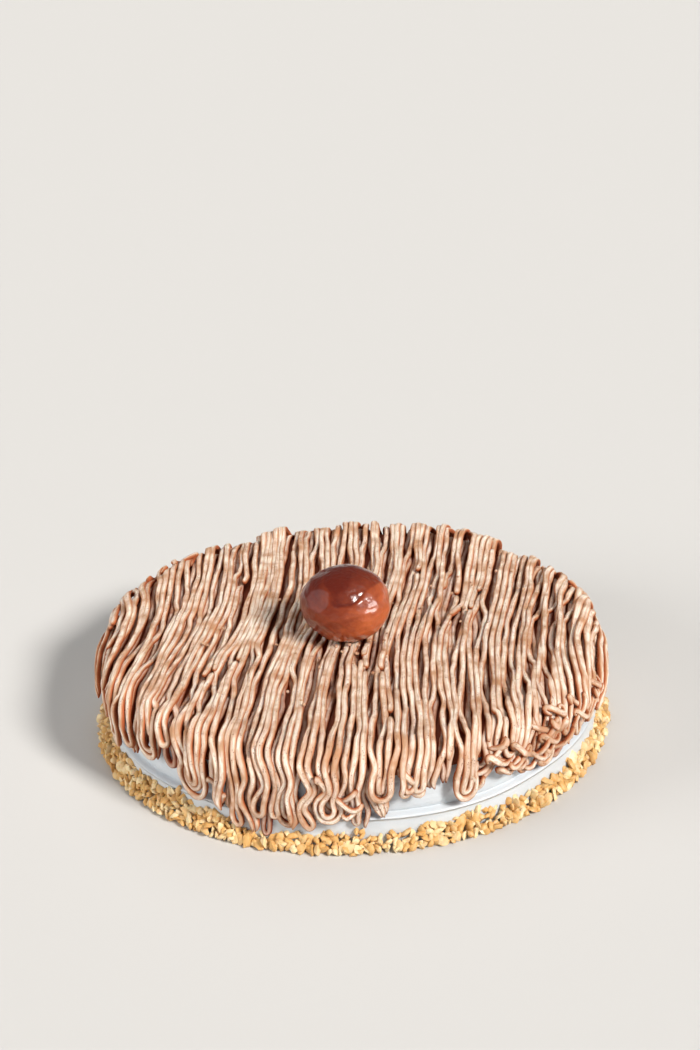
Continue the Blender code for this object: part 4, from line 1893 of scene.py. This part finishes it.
@dataclass
class Studio:
    """A pale floor, soft studio lights and the camera."""

    camera_place: tuple[float, float, float] = (0.0861, -0.7441, 0.4394)
    heading: float = 6.5
    pitch: float = 25.28
    roll: float = -1.98
    lens: float = 72.0
    aim: tuple[float, float, float] = (0.0, 0.0, 0.03)
    floor_size: float = 40.0
    floor_colour: Colour = (0.58, 0.575, 0.565)
    key_colour: Colour = (1.0, 0.965, 0.92)
    fill_colour: Colour = (1.0, 0.985, 0.965)
    box_colour: Colour = (1.0, 0.94, 0.98)
    glint_colour: Colour = (1.0, 0.97, 0.95)
    sky_colour: Colour = (1.0, 0.99, 0.975)
    sky_strength: float = 0.14

    def floor(self) -> None:
        """Lays a wide matt floor under the cake."""
        Bench.clear()
        bpy.ops.mesh.primitive_plane_add(size=self.floor_size, location=(0.0, 0.0, 0.0))
        ground = bpy.context.object
        ground.name = "floor"
        shader = Shader("floor")
        shader.feed(Base_Color=self.floor_colour, Roughness=0.8, Specular_IOR_Level=0.0)
        ground.data.materials.append(shader.material)

    def lamp(
        self, name: str, kind: str, place: tuple[float, float, float], colour: Colour, shows: Shows
    ) -> bpy.types.Light:
        """Adds a lamp that faces the cake.

        Args:
            name: Its name.
            kind: Blender's type of the lamp.
            place: Where it stands.
            colour: Its colour.
            shows: How it shows on the cake.

        Returns:
            Its data, for its strength and size.
        """
        Bench.clear()
        bpy.ops.object.light_add(type=kind, location=place)
        lamp = bpy.context.object
        lamp.name = name
        lamp.data.color = colour
        lamp.visible_glossy = shows is not Shows.SOFTLY
        lamp.visible_diffuse = shows is not Shows.MIRRORED
        way = Vector(self.aim) - lamp.location
        lamp.rotation_euler = way.to_track_quat("-Z", "Y").to_euler()
        return lamp.data

    def box(
        self,
        name: str,
        place: tuple[float, float, float],
        size: float,
        power: float,
        colour: Colour,
    ) -> None:
        """Adds a square lamp that is only mirrored.

        Args:
            name: Its name.
            place: Where it stands.
            size: Length of its side.
            power: Its power in watts.
            colour: Its colour.
        """
        data = self.lamp(name, "AREA", place, colour, Shows.MIRRORED)
        data.size = size
        data.energy = power

    def sun(
        self,
        name: str,
        place: tuple[float, float, float],
        strength: float,
        spread: float,
        colour: Colour,
        shows: Shows,
    ) -> None:
        """Adds a wide, far lamp, which lights the whole floor evenly.

        Args:
            name: Its name.
            place: A place in its direction.
            strength: Its strength in watts a square metre.
            spread: How wide it looks, in degrees.
            colour: Its colour.
            shows: How it shows on the cake.
        """
        data = self.lamp(name, "SUN", place, colour, shows)
        data.energy = strength
        data.angle = math.radians(spread)

    def lights(self) -> None:
        """A warm key from the right front, fills, and two lamps that are only mirrored."""
        fill = self.fill_colour
        self.sun("key", (0.66, -0.49, 0.64), 4.5, 15.0, self.key_colour, Shows.WHOLLY)
        self.sun("left_fill", (-0.80, -0.30, 0.30), 1.9, 35.0, fill, Shows.SOFTLY)
        self.sun("front", (-0.25, -0.95, 0.50), 0.42, 30.0, fill, Shows.SOFTLY)
        self.sun("back", (-0.10, 0.60, 0.90), 0.68, 50.0, fill, Shows.SOFTLY)
        self.box("soft_box", (-0.78, -0.20, 0.36), 0.5, 0.8, self.box_colour)
        self.box("glint", (0.85, -0.42, 0.13), 0.24, 4.2, self.glint_colour)
        world = bpy.data.worlds.new("studio")
        world.use_nodes = True
        sky = world.node_tree.nodes["Background"]
        sky.inputs["Color"].default_value = (*self.sky_colour, 1.0)
        sky.inputs["Strength"].default_value = self.sky_strength
        bpy.context.scene.world = world
        bpy.context.scene.view_settings.view_transform = "Standard"

    def camera(self) -> None:
        """The camera at the photograph's angle."""
        yaw, pitch, roll = (math.radians(a) for a in (self.heading, self.pitch, self.roll))
        forward = Vector(
            (-math.sin(yaw) * math.cos(pitch), math.cos(yaw) * math.cos(pitch), -math.sin(pitch))
        )
        right = Vector((math.cos(yaw), math.sin(yaw), 0.0))
        up = right.cross(forward)
        level, tilted = math.cos(roll), math.sin(roll)
        axes = (right * level + up * tilted, up * level - right * tilted, -forward)
        turn = Matrix([[axis[row] for axis in axes] for row in range(3)])
        Bench.clear()
        bpy.ops.object.camera_add(location=self.camera_place)
        camera = bpy.context.object
        camera.matrix_world = Matrix.Translation(self.camera_place) @ turn.to_4x4()
        camera.data.lens = self.lens
        camera.data.clip_start = 0.01
        bpy.context.scene.camera = camera

    def build(self) -> None:
        """Sets up the studio."""
        self.camera()
        self.floor()
        self.lights()


def main() -> None:
    """Builds the dressed cake and its studio."""
    logging.basicConfig(level=logging.INFO, format="%(name)s: %(message)s")
    form = CakeForm()
    Studio().build()
    CreamBody(form).build()
    NutRing(form).build()
    PipedStrands(form).build()
    CandiedChestnut().build()


if __name__ == "__main__":
    main()
